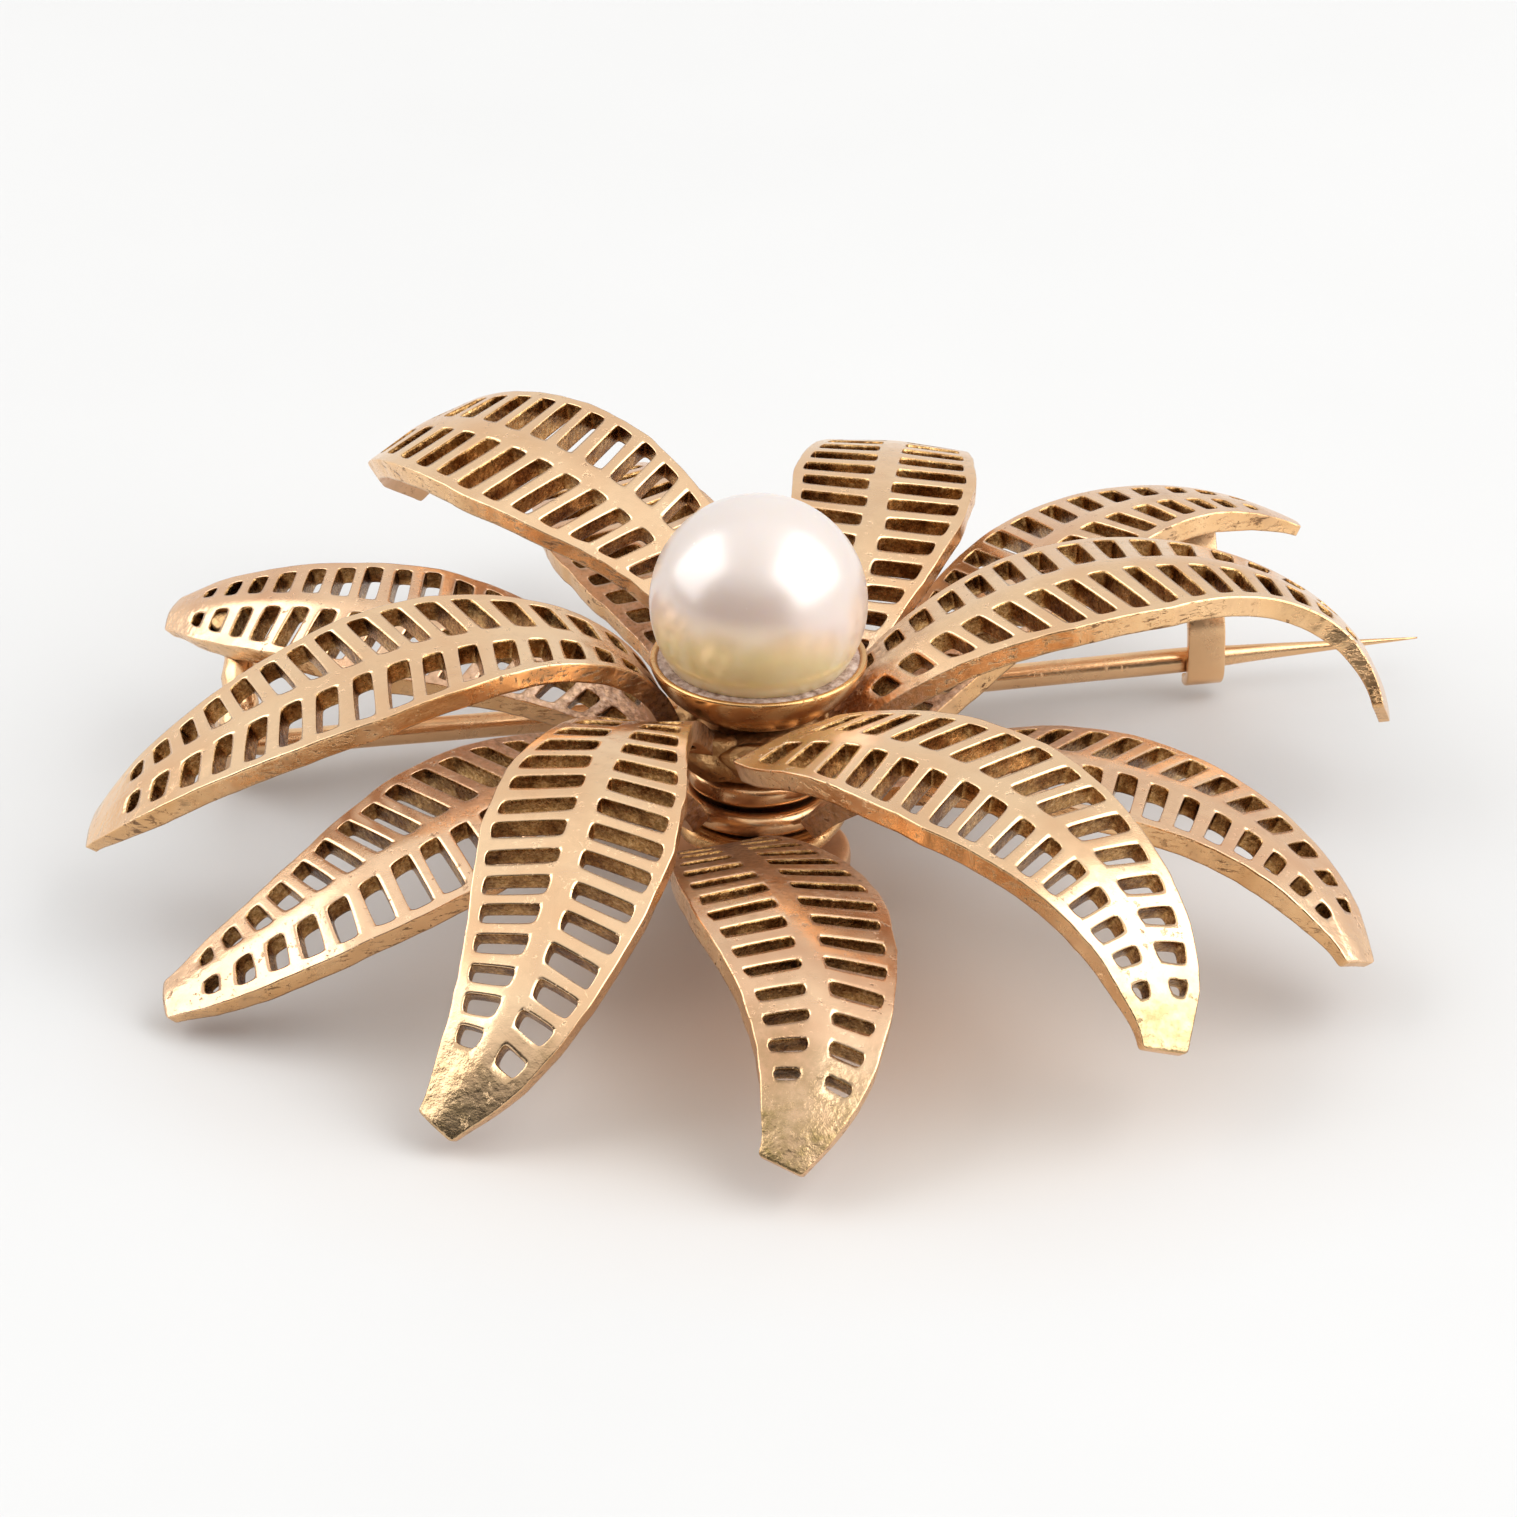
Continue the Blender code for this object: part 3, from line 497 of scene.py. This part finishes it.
    crease = bm.edges.layers.float.new("crease_edge")
    sharp = []
    for j in range(ny):
        for i in range(nx):
            if not solid(j, i):
                continue
            ring = [(j, i), (j, i + 1), (j + 1, i + 1), (j + 1, i)]
            bm.faces.new([top[y][x] for y, x in ring]).material_index = 0
            bm.faces.new([low[y][x] for y, x in reversed(ring)]).material_index = 2
            for (pa, pb), (dj, di) in zip(zip(ring, ring[1:] + ring[:1]), ((-1, 0), (0, 1), (1, 0), (0, -1))):
                near = solid(j + dj, i + di)
                if near:
                    continue
                rim = 3 if near is None else 1
                ma, mb = middle(*pa, rim), middle(*pb, rim)
                ta, tb, la, lb = top[pa[0]][pa[1]], top[pb[0]][pb[1]], low[pa[0]][pa[1]], low[pb[0]][pb[1]]
                bm.faces.new((tb, ta, ma, mb)).material_index = rim
                bm.faces.new((mb, ma, la, lb)).material_index = rim
                sharp += [((ta, tb), 0.70 if rim == 1 else 0.72), ((la, lb), 0.55)]
    for (va, vb), k in sharp:
        e = bm.edges.get((va, vb))
        e[crease] = k
    loose = [v for v in bm.verts if not v.link_faces]
    bmesh.ops.delete(bm, geom=loose, context="VERTS")
    bmesh.ops.recalc_face_normals(bm, faces=bm.faces)
    ob = new_mesh_object("fine_" + name, bm, mats)
    ss = ob.modifiers.new("round", "SUBSURF")
    ss.levels = ss.render_levels = level
    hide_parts(name)
    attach(ob, ROOT)
    return ob


# ------------------------------------------------------------------ turned pieces
def turned(name, profile, mat, z=0.0, steps=96, body=ROOT, replaces=(), sub=1, wobble=0.0):
    """Turned solid from (radius, height) points run top, outside, bottom, in mm."""
    bm = bmesh.new()
    rings = []
    for r, h in profile:
        if r <= 1e-9:
            rings.append([bm.verts.new((0, 0, (h + z) * MM))])
            continue
        ring = []
        for i in range(steps):
            a = math.tau * i / steps
            w = 1.0
            if wobble:
                w += wobble * noise.noise(Vector((math.cos(a) * 1.5, math.sin(a) * 1.5, h * 0.9 + r)))
            ring.append(bm.verts.new((r * w * math.cos(a) * MM, r * w * math.sin(a) * MM, (h + z) * MM)))
        rings.append(ring)
    pairs = list(zip(rings, rings[1:]))
    if profile[0][0] > 1e-9 or profile[-1][0] > 1e-9:
        pairs.append((rings[-1], rings[0]))
    for a, b in pairs:
        n = max(len(a), len(b))
        for i in range(n):
            j = (i + 1) % n
            if len(a) == 1 and len(b) == 1:
                continue
            if len(a) == 1:
                bm.faces.new((a[0], b[i], b[j]))
            elif len(b) == 1:
                bm.faces.new((a[i], b[0], a[j]))
            else:
                bm.faces.new((a[i], b[i], b[j], a[j]))
    bmesh.ops.recalc_face_normals(bm, faces=bm.faces)
    ob = new_mesh_object(name, bm, [mat])
    if sub:
        ss = ob.modifiers.new("round", "SUBSURF")
        ss.levels = ss.render_levels = sub
    if replaces:
        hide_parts(*replaces)
    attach(ob, body)
    return ob


def arc(cx, cy, r, a0, a1, n):
    return [(cx + r * math.cos(math.radians(a0 + (a1 - a0) * i / n)),
             cy + r * math.sin(math.radians(a0 + (a1 - a0) * i / n))) for i in range(n + 1)]


def tube(name, pts, radii, mat, body, res=24, replaces=(), flatten=None):
    """A round bar along pts (mm) with a radius at each point, rounded over at both ends."""
    bm = bmesh.new()
    pts = [Vector(p) for p in pts]
    rings = []
    ref = Vector((0, 0, 1))
    for i, p in enumerate(pts):
        d = (pts[min(i + 1, len(pts) - 1)] - pts[max(i - 1, 0)]).normalized()
        u = d.cross(ref)
        if u.length < 0.1:
            u = d.cross(Vector((0, 1, 0)))
        u.normalize()
        v = d.cross(u)
        rings.append([bm.verts.new((p + (u * math.cos(math.tau * k / res) + v * math.sin(math.tau * k / res)) * radii[i]) * MM)
                      for k in range(res)])
    for a, b in zip(rings, rings[1:]):
        for k in range(res):
            bm.faces.new((a[k], a[(k + 1) % res], b[(k + 1) % res], b[k]))
    for ring, end, nxt in ((rings[0], pts[0], pts[1]), (rings[-1], pts[-1], pts[-2])):
        tip = bm.verts.new((end + (end - nxt).normalized() * radii[0 if end is pts[0] else -1] * 0.25) * MM)
        for k in range(res):
            bm.faces.new((ring[k], ring[(k + 1) % res], tip))
    bmesh.ops.recalc_face_normals(bm, faces=bm.faces)
    ob = new_mesh_object(name, bm, [mat])
    if replaces:
        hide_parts(*replaces)
    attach(ob, body)
    return ob


def blob(name, at, size, mat, body=ROOT, seed=0.0, rough=0.25, rot=None):
    """A small lump of solder."""
    bm = bmesh.new()
    bmesh.ops.create_icosphere(bm, subdivisions=4, radius=1.0)
    for v in bm.verts:
        k = 1.0 + rough * noise.noise(v.co * 1.3 + Vector((seed, seed * 0.7, 0)))
        v.co = Vector((v.co.x * size[0], v.co.y * size[1], v.co.z * size[2])) * k
    if rot is not None:
        bmesh.ops.rotate(bm, verts=bm.verts, cent=(0, 0, 0), matrix=rot)
    for v in bm.verts:
        v.co = (v.co + Vector(at)) * MM
    ob = new_mesh_object(name, bm, [mat])
    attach(ob, body)
    return ob


def rounded_box(name, size, matrix, mat, body, r=0.06, segments=3, replaces=()):
    bm = bmesh.new()
    bmesh.ops.create_cube(bm, size=1.0)
    for v in bm.verts:
        v.co = Vector((v.co.x * size[0], v.co.y * size[1], v.co.z * size[2])) * MM
    bmesh.ops.bevel(bm, geom=bm.edges[:], offset=r * MM, segments=segments, profile=0.6, affect="EDGES")
    bm.transform(matrix)
    ob = new_mesh_object(name, bm, [mat])
    if replaces:
        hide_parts(*replaces)
    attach(ob, body)
    return ob


def extruded(name, outline, half, matrix, mat, body, bevel=0.05, replaces=(), holes=()):
    """A flat outline (mm) extruded both ways along its own Z, edges rounded."""
    cu = bpy.data.curves.new(name, "CURVE")
    cu.dimensions = "2D"
    cu.fill_mode = "BOTH"
    cu.extrude = (half - bevel) * MM
    cu.bevel_depth = bevel * MM
    cu.bevel_resolution = 3
    cu.offset = -bevel * MM
    for ring in (outline, *holes):
        sp = cu.splines.new("POLY")
        sp.points.add(len(ring) - 1)
        for p, (x, y) in zip(sp.points, ring):
            p.co = (x * MM, y * MM, 0.0, 1.0)
        sp.use_cyclic_u = True
    tmp = bpy.data.objects.new(name + "_c", cu)
    bpy.context.scene.collection.objects.link(tmp)
    bpy.context.view_layer.update()
    dg = bpy.context.evaluated_depsgraph_get()
    me = bpy.data.meshes.new_from_object(tmp.evaluated_get(dg))
    bpy.data.objects.remove(tmp, do_unlink=True)
    bm = bmesh.new()
    bm.from_mesh(me)
    bmesh.ops.remove_doubles(bm, verts=bm.verts, dist=1e-7)
    bm.transform(matrix)
    bmesh.ops.recalc_face_normals(bm, faces=bm.faces)
    ob = new_mesh_object(name, bm, [mat])
    ob.data.set_sharp_from_angle(angle=math.radians(40))
    if replaces:
        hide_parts(*replaces)
    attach(ob, body)
    return ob


# ------------------------------------------------------------------ materials
M_TOP_U = gold("gold_top_upper", (0.94, 0.66, 0.41), (0.86, 0.53, 0.30), 0.15, wave=0.55, grain=0.02, dirt=0.75, pits=0.40, tarnish=0.30,
               dust=(3.0, 6.5), lumps=(19.5, 23.0))
M_TOP_L = gold("gold_top_lower", (0.93, 0.64, 0.41), (0.76, 0.44, 0.26), 0.19, wave=0.60, grain=0.06, dirt=0.95, pits=0.60, tarnish=0.60,
               dust=(6.5, 15.0), lumps=(19.0, 23.0))
M_SLOT = slot_gold("gold_slot_wall")
M_EDGE = gold("gold_edge", (0.95, 0.61, 0.32), (0.68, 0.37, 0.15), 0.20, wave=0.7, grain=0.25, dirt=1.0, pits=1.0, tarnish=0.45,
              dust=(3.0, 8.0), streaks=0.85)
M_BACK = gold("gold_back", (0.82, 0.50, 0.28), (0.66, 0.38, 0.20), 0.32, wave=0.4, grain=0.18, dirt=0.7, pits=0.5, tarnish=0.6)
M_CUP = gold("gold_cup", (0.80, 0.47, 0.20), (0.60, 0.32, 0.12), 0.20, wave=0.5, grain=0.05, dirt=0.7, pits=0.4, tarnish=0.5)
M_HUB = gold("gold_hub", (0.86, 0.52, 0.25), (0.62, 0.34, 0.13), 0.22, wave=0.9, grain=0.12, dirt=0.8, pits=0.7, tarnish=0.5)
M_WIRE = gold("gold_wire", (0.90, 0.58, 0.32), (0.78, 0.46, 0.23), 0.17, wave=0.30, grain=0.04, dirt=0.6, pits=0.3, tarnish=0.4)
M_SOLDER = gold("gold_solder", (0.82, 0.53, 0.26), (0.50, 0.29, 0.12), 0.34, wave=0.7, grain=1.6, dirt=0.7, pits=0.9, tarnish=0.3)
M_NACRE = nacre("pearl_nacre")


def cement_material():
    k = Mat("pearl_cement")
    b = k.bsdf
    tone = k.ramp(k.noise(3200.0, 4.0, 0.65), [(0.32, (0.17, 0.095, 0.06)), (0.50, (0.46, 0.33, 0.27)), (0.68, (0.72, 0.60, 0.53))])
    k.link(tone, b.inputs["Base Color"])
    b.inputs["Roughness"].default_value = 0.55
    k.link(k.bump(k.noise(2400.0, 4.0, 0.6), 0.6, 0.0001), b.inputs["Normal"])
    return k.m


M_CEMENT = cement_material()

# ------------------------------------------------------------------ leaves
LEVEL = 2
for row in LEAVES:
    top = M_TOP_U if row[0].startswith("upper") else M_TOP_L
    fine_leaf(row, [top, M_SLOT, M_BACK, M_EDGE], LEVEL)

# ------------------------------------------------------------------ pearl, cup, hubs, ring, plate
bm = bmesh.new()
bmesh.ops.create_icosphere(bm, subdivisions=6, radius=PEARL_R)
for v in bm.verts:
    d = v.co.normalized()
    v.co *= 1.0 + 0.0022 * noise.noise(d * 1.4 + Vector((3, 1, 2))) + 0.0008 * noise.noise(d * 5.0)
    v.co = (v.co + Vector((0, 0, PEARL_Z))) * MM
pearl = new_mesh_object("fine_pearl", bm, [M_NACRE])
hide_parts("pearl", "pearl_peg")
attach(pearl, ROOT)

turned("fine_cup", [
    (0.0, -3.83), (0.6, -3.83), (1.0, -3.82), (1.6, -3.64), (2.2, -3.34), (2.8, -2.92), (3.2, -2.58), (3.42, -2.26),
    (3.50, -2.12), (3.56, -2.06), (3.64, -2.05), (3.71, -2.07), (3.75, -2.13), (3.75, -2.24), (3.68, -2.44),
    (3.50, -2.78), (3.27, -3.08), (2.98, -3.36), (2.60, -3.66), (2.15, -3.92), (1.65, -4.12), (1.1, -4.25), (0.6, -4.31), (0.0, -4.32)],
    M_CUP, PEARL_Z, replaces=("pearl_cup",), wobble=0.004)
turned("cement_line", [
    (2.2, -3.22), (2.86, -2.28), (3.02, -2.13), (3.20, -2.10), (3.38, -2.12), (3.52, -2.14), (3.54, -2.26), (3.36, -2.44), (2.6, -3.14)],
    M_CEMENT, PEARL_Z, wobble=0.010)
turned("fine_upper_hub", [
    (0.0, -4.36), (0.6, -4.36), (0.85, -4.40), (1.10, -4.60), (1.50, -4.85), (1.85, -5.12), (2.02, -5.50), (2.09, -5.88),
    (2.10, -6.20), (2.02, -6.50), (1.84, -6.74), (1.60, -6.88), (1.2, -6.92), (0.0, -6.92)],
    M_HUB, PEARL_Z, replaces=("upper_hub",), wobble=0.05)
turned("upper_collar", [
    (0.9, -4.20), (1.5, -4.22), (1.95, -4.45), (2.25, -4.85), (2.42, -5.30), (2.45, -5.72), (2.20, -6.02), (1.2, -6.05)],
    M_SOLDER, PEARL_Z, wobble=0.10)
# solder where the roots of the two front leaves run together
for i, (x, y, z, sx_, sy_, sz_) in enumerate((
        (-1.55, -1.75, -4.95, 1.25, 0.85, 0.85), (-0.1, -2.15, -5.05, 1.35, 0.60, 0.72), (0.95, -2.05, -5.0, 0.95, 0.65, 0.65),
        (2.15, -1.55, -4.75, 0.80, 0.80, 0.50), (2.35, 0.75, -4.95, 0.75, 0.80, 0.50), (1.2, 2.1, -4.9, 0.8, 0.7, 0.5),
        (-0.9, 2.35, -4.95, 0.8, 0.7, 0.5), (-2.4, 0.9, -4.95, 0.7, 0.75, 0.5))):
    blob("root_solder_%02d" % i, (x, y, PEARL_Z + z), (sx_, sy_, sz_), M_SOLDER, seed=3.1 * i, rough=0.35)
ring = [(2.42 + 0.42 * math.cos(math.radians(90 - 360 * i / 20)), 0.42 * math.sin(math.radians(90 - 360 * i / 20))) for i in range(20)]
turned("fine_ring", ring, M_WIRE, PEARL_Z - 7.36, replaces=("spacer_ring",), wobble=0.008)
turned("ring_neck", [(0.0, -5.9), (1.9, -5.92), (2.38, -6.02), (2.50, -6.20), (2.52, -6.50), (2.44, -6.70), (2.20, -6.84), (1.85, -7.1), (1.85, -7.4), (1.9, -7.9), (0.0, -7.95)], M_WIRE, PEARL_Z, wobble=0.03)
turned("fine_lower_hub", [
    (0.0, -7.82), (1.6, -7.84), (2.45, -7.84), (2.62, -7.88), (2.71, -7.98), (2.72, -8.2), (2.70, -8.46), (2.62, -8.58),
    (2.45, -8.62), (0.0, -8.62)], M_HUB, PEARL_Z, replaces=("lower_hub",), wobble=0.01)
turned("lower_collar", [
    (1.9, -7.90), (2.5, -7.88), (2.78, -7.96), (2.92, -8.15), (2.90, -8.45), (2.75, -8.62), (1.9, -8.64)],
    M_HUB, PEARL_Z, wobble=0.10)
turned("fine_plate", [
    (0.0, 1.58), (1.7, 1.58), (1.80, 1.5), (1.84, 0.98), (1.92, 0.84), (2.1, 0.80), (3.0, 0.80), (3.14, 0.76), (3.20, 0.66),
    (3.20, 0.14), (3.15, 0.04), (3.05, 0.0), (1.0, 0.0), (0.0, 0.0)], M_BACK, 0.0,
    replaces=("back_plate", "centre_rivet"))

# ------------------------------------------------------------------ hinge, stem, catch
STEM_Z, STEM_ANGLE, AX, AY, STEM_LEN, STEM_R = 1.35, 11.3, -18.5, 6.41, 43.0, 0.45
a_, b_ = math.radians(STEM_ANGLE), math.radians(45.0)
S = Vector((math.cos(a_), math.sin(a_), 0.0))
REAR = Vector((-math.sin(a_), math.cos(a_), 0.0))
OUT = REAR * math.cos(b_) - Vector((0, 0, 1)) * math.sin(b_)
AXIS = S.cross(OUT)
BASE = Matrix((S, AXIS, -OUT)).transposed().to_4x4()
BASE.translation = Vector((AX, AY, STEM_Z)) * MM
SIDE = Matrix.Rotation(math.radians(90), 4, "X")


def to_world(x, y, z):
    return (BASE @ (Vector((x, y, z)) * MM)) / MM


# fork: two cheeks and a bridge
reach = 1.45
cheek = arc(0, 0, 0.60, 180, 360, 28) + [(0.60, reach - 0.15)] + arc(0.45, reach - 0.15, 0.15, 0, 90, 5)[1:] + \
    arc(-0.45, reach - 0.15, 0.15, 90, 180, 5)
for i, y in enumerate((-0.655, 0.655)):
    m = BASE @ Matrix.Translation(Vector((0, y, 0)) * MM) @ SIDE
    extruded("fork_cheek_%d" % i, cheek, 0.205, m, M_WIRE, ROOT, 0.05, replaces=(("hinge_bracket",) if i == 0 else ()))
rounded_box("fork_bridge", (1.18, 1.70, 0.66), BASE @ Matrix.Translation(Vector((0, 0, 1.10)) * MM), M_WIRE, ROOT, 0.08)


def turned_at(name, profile, matrix, mat, body, replaces=(), steps=48):
    bm = bmesh.new()
    rings = []
    for r, h in profile:
        if r <= 1e-9:
            rings.append([bm.verts.new((0, 0, h * MM))])
        else:
            rings.append([bm.verts.new((r * math.cos(math.tau * i / steps) * MM, r * math.sin(math.tau * i / steps) * MM, h * MM))
                          for i in range(steps)])
    pairs = list(zip(rings, rings[1:]))
    if profile[0][0] > 1e-9:
        pairs.append((rings[-1], rings[0]))
    for a, b in pairs:
        for i in range(steps):
            j = (i + 1) % steps
            if len(a) == 1:
                bm.faces.new((a[0], b[i], b[j]))
            elif len(b) == 1:
                bm.faces.new((a[i], b[0], a[j]))
            else:
                bm.faces.new((a[i], b[i], b[j], a[j]))
    bm.transform(matrix)
    bmesh.ops.recalc_face_normals(bm, faces=bm.faces)
    ob = new_mesh_object(name, bm, [mat])
    ob.data.set_sharp_from_angle(angle=math.radians(50))
    if replaces:
        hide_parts(*replaces)
    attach(ob, body)
    return ob


turned_at("fine_hinge_pin", [(0, 1.06), (0.14, 1.05), (0.26, 1.00), (0.33, 0.93), (0.33, 0.89), (0.27, 0.87), (0.27, -0.87),
                             (0.33, -0.89), (0.33, -0.93), (0.26, -1.00), (0.14, -1.05), (0, -1.06)],
          BASE @ SIDE, M_WIRE, ROOT, ("hinge_pin",), 32)
turned_at("fine_knuckle", [(0.31, 0.38), (0.36, 0.40), (0.56, 0.40), (0.61, 0.37), (0.62, 0.32), (0.62, -0.32), (0.61, -0.37),
                           (0.56, -0.40), (0.36, -0.40), (0.31, -0.38)],
          BASE @ SIDE, M_WIRE, STEM, ("stem_knuckle",), 40)


def stem_point(x):
    f = x / STEM_LEN
    drop = -0.12 * math.sin(math.pi * min(1.0, f * 1.15)) if f * 1.15 < 1.0 else 0.0
    p = Vector((AX, AY, STEM_Z)) + S * x + Vector((0, 0, drop))
    return p


pts, rad = [], []
n = 90
for i in range(n + 1):
    x = 0.45 + (STEM_LEN - 0.45) * i / n
    f = x / STEM_LEN
    r = STEM_R if f < 0.80 else STEM_R * max(0.07, 1.0 - 0.93 * ((f - 0.80) / 0.20) ** 0.9)
    r *= 1.0 + 0.015 * noise.noise(Vector((x * 0.5, 0, 0)))
    if x < 1.4:
        r = min(r, 0.34 + 0.16 * max(0.0, (x - 0.6) / 0.8))
    p = stem_point(x)
    p += REAR * 0.03 * noise.noise(Vector((x * 0.12, 3, 0)))
    pts.append(p)
    rad.append(max(r, 0.03))
tube("fine_stem", pts, rad, M_WIRE, STEM, 28, ("pin_stem",))

# post from the fork up to the leaf
row1 = next(r for r in LEAVES if r[0] == "lower_leaf_1")
fr1 = leaf_frames(row1)
post_top = leaf_point(row1, fr1, 3.1, 0.0, LEAF_THICK - 0.05)
below = leaf_point(row1, fr1, 3.1, 0.0, LEAF_THICK + 0.56)
foot = to_world(0, 0, reach - 0.1)
lead = Vector(-OUT)
p0, p1 = foot + lead * 0.3, foot + lead * 1.1
pts = [foot]
for i in range(17):
    t = i / 16
    pts.append(p0 * (1 - t) ** 2 + p1 * 2 * t * (1 - t) + below * t * t)
pts.append(post_top)
tube("fine_post", pts, [0.66 + 0.05 * math.sin(i * 1.7) for i in range(len(pts))], M_WIRE, ROOT, 24, ("hinge_post",))
blob("post_solder_top", post_top - Vector((0, 0, 0.12)), (1.05, 0.95, 0.42), M_SOLDER, seed=1.0)
blob("post_solder_foot", foot + lead * 0.12, (0.62, 0.62, 0.34), M_SOLDER, seed=2.0)

# catch: flat strip, rounded edges
at = Vector((AX, AY, STEM_Z)) + S * 35.0
row5 = next(r for r in LEAVES if r[0] == "lower_leaf_5")
fr5 = leaf_frames(row5)
best = min((abs((leaf_point(row5, fr5, 0.05 * i, 0.0) - at).dot(S)), 0.05 * i) for i in range(20, 160))[1]
top5 = leaf_point(row5, fr5, best, 0.0, LEAF_THICK)
rise = (top5 - at).z + 0.05
off = (top5 - at).dot(REAR)
mid = 0.78
line = arc(0, 0, mid, 275.0, 180, 30) + [(-mid, 0.3), (-mid, 0.7), (-mid, 1.2)]
lean = off + 0.1
for i in range(1, 19):
    t = i / 18
    e = t * t * (3 - 2 * t)
    line.append((-mid + (lean + mid) * e, 1.2 + (rise - 1.2) * t))
left, right = [], []
for i, p in enumerate(line):
    q0, q1 = line[max(i - 1, 0)], line[min(i + 1, len(line) - 1)]
    dx, dy = q1[0] - q0[0], q1[1] - q0[1]
    d = math.hypot(dx, dy)
    nx_, ny_ = -dy / d * 0.18, dx / d * 0.18
    left.append((p[0] + nx_, p[1] + ny_))
    right.append((p[0] - nx_, p[1] - ny_))
m = Matrix((REAR, Vector((0, 0, 1)), S)).transposed().to_4x4()
m.translation = at * MM
extruded("fine_catch", left + right[::-1], 0.675, m, M_WIRE, ROOT, 0.07, ("catch_hook",))
blob("catch_solder", top5 - Vector((0, 0, 0.02)), (0.95, 0.60, 0.22), M_SOLDER, seed=4.0)

# ------------------------------------------------------------------ table
def table_material():
    k = Mat("table_white")
    b = k.bsdf
    tone = k.ramp(k.noise(18.0, 4.0, 0.6), [(0.3, (0.63, 0.63, 0.63)), (0.7, (0.655, 0.655, 0.655))])
    # painted gold bounce: the floor is tinted orange around the brooch, strongest near its centre, in place of light
    # reflected from the gold
    off = k.n.new("ShaderNodeMapping")
    off.inputs["Location"].default_value = (-0.002, 0.0156, 0.0)
    off.inputs["Scale"].default_value = (1.0, 1.3, 0.0)
    k.link(k.co, off.inputs["Vector"])
    dist = k.n.new("ShaderNodeVectorMath")
    dist.operation = "LENGTH"
    k.link(off.outputs["Vector"], dist.inputs[0])
    painted_bounce_tint = k.ramp(k.math("MULTIPLY", dist.outputs["Value"], 30.0), [(0.10, (1.0, 0.82, 0.69)), (0.32, (1.0, 0.92, 0.85)), (0.52, (1.0, 0.975, 0.955)), (0.76, (1.0, 1.0, 1.0))])
    tone = k.mix(1.0, tone, painted_bounce_tint, "MULTIPLY")
    k.link(tone, b.inputs["Base Color"])
    b.inputs["Roughness"].default_value = 0.45
    b.inputs["Specular IOR Level"].default_value = 0.35
    return k.m


bm = bmesh.new()
bmesh.ops.create_grid(bm, x_segments=1, y_segments=1, size=0.6)
table = new_mesh_object("table", bm, [table_material()])
table.location = (0, 0, -0.00002)

# ------------------------------------------------------------------ light
world = bpy.data.worlds.new("studio")
bpy.context.scene.world = world
world.use_nodes = True
wn = world.node_tree
bg = wn.nodes["Background"]
sx = wn.nodes.new("ShaderNodeSeparateXYZ")
wn.links.new(wn.nodes.new("ShaderNodeTexCoord").outputs["Generated"], sx.inputs[0])


def wmath(op, a, b=0.0, c=0.0, clamp=False):
    x = wn.nodes.new("ShaderNodeMath")
    x.operation = op
    x.use_clamp = clamp
    for sock, v in zip(x.inputs, (a, b, c)):
        if isinstance(v, (int, float)):
            sock.default_value = v
        else:
            wn.links.new(v, sock)
    return x.outputs[0]


def wstep(v, lo, hi):
    """Smooth rise from 0 at lo to 1 at hi."""
    x = wn.nodes.new("ShaderNodeMapRange")
    x.interpolation_type = "SMOOTHSTEP"
    x.inputs["From Min"].default_value = lo
    x.inputs["From Max"].default_value = hi
    wn.links.new(v, x.inputs["Value"])
    return x.outputs["Result"]


# a dim room: white backdrop behind, pale ceiling, dark on the photographer's side
back_wall = wmath("MULTIPLY", wstep(sx.outputs["Y"], 0.05, 0.45), 0.86)
ceiling = wmath("MULTIPLY", wstep(sx.outputs["Z"], 0.34, 0.92), 1.02)
side = wmath("MULTIPLY", wstep(sx.outputs["X"], 0.30, 0.80), 0.80)
level = wmath("MAXIMUM", wmath("MAXIMUM", back_wall, wmath("MAXIMUM", ceiling, side)), 0.045)
comb = wn.nodes.new("ShaderNodeCombineColor")
wn.links.new(level, comb.inputs[0])
wn.links.new(wmath("MULTIPLY", level, 0.995), comb.inputs[1])
wn.links.new(wmath("MULTIPLY", level, 0.98), comb.inputs[2])
wn.links.new(comb.outputs[0], bg.inputs["Color"])
bg.inputs["Strength"].default_value = 1.0


def softbox(name, direction, dist, size, watts, col=(1, 1, 1)):
    li = bpy.data.lights.new(name, "AREA")
    li.shape = "RECTANGLE"
    li.size, li.size_y = size
    li.energy = watts
    li.color = col
    ob = bpy.data.objects.new(name, li)
    bpy.context.scene.collection.objects.link(ob)
    d = Vector(direction).normalized()
    ob.location = d * dist
    ob.rotation_euler = (-d).to_track_quat("-Z", "Y").to_euler()
    return ob


softbox("softbox_left", (-0.824, 0.06, 0.564), 0.60, (0.54, 0.54), 2.15)
softbox("softbox_right", (0.74, -0.17, 0.65), 0.60, (0.78, 0.60), 3.75)

# ------------------------------------------------------------------ camera
E = math.radians(27.6)
DIST = 0.350
BACK = Vector((0, -math.cos(E), math.sin(E)))
UP = Vector((0, math.sin(E), math.cos(E)))
RIGHT = Vector((1, 0, 0))
cam_data = bpy.data.cameras.new("main")
cam_data.sensor_width = 36.0
cam_data.lens = 36.0 * 29.2 * 350.0 / 1517.0
cam_data.clip_start = 0.01
cam_data.clip_end = 20.0
cam = bpy.data.objects.new("main", cam_data)
bpy.context.scene.collection.objects.link(cam)
cam.matrix_world = Matrix((RIGHT, UP, BACK)).transposed().to_4x4()
cam.location = Vector((0, 0, PEARL_Z * MM)) + BACK * DIST - UP * 0.00536
bpy.context.scene.camera = cam

sc = bpy.context.scene
sc.view_settings.view_transform = "Standard"
sc.view_settings.look = "None"
sc.view_settings.exposure = 0.0

bpy.context.view_layer.update()
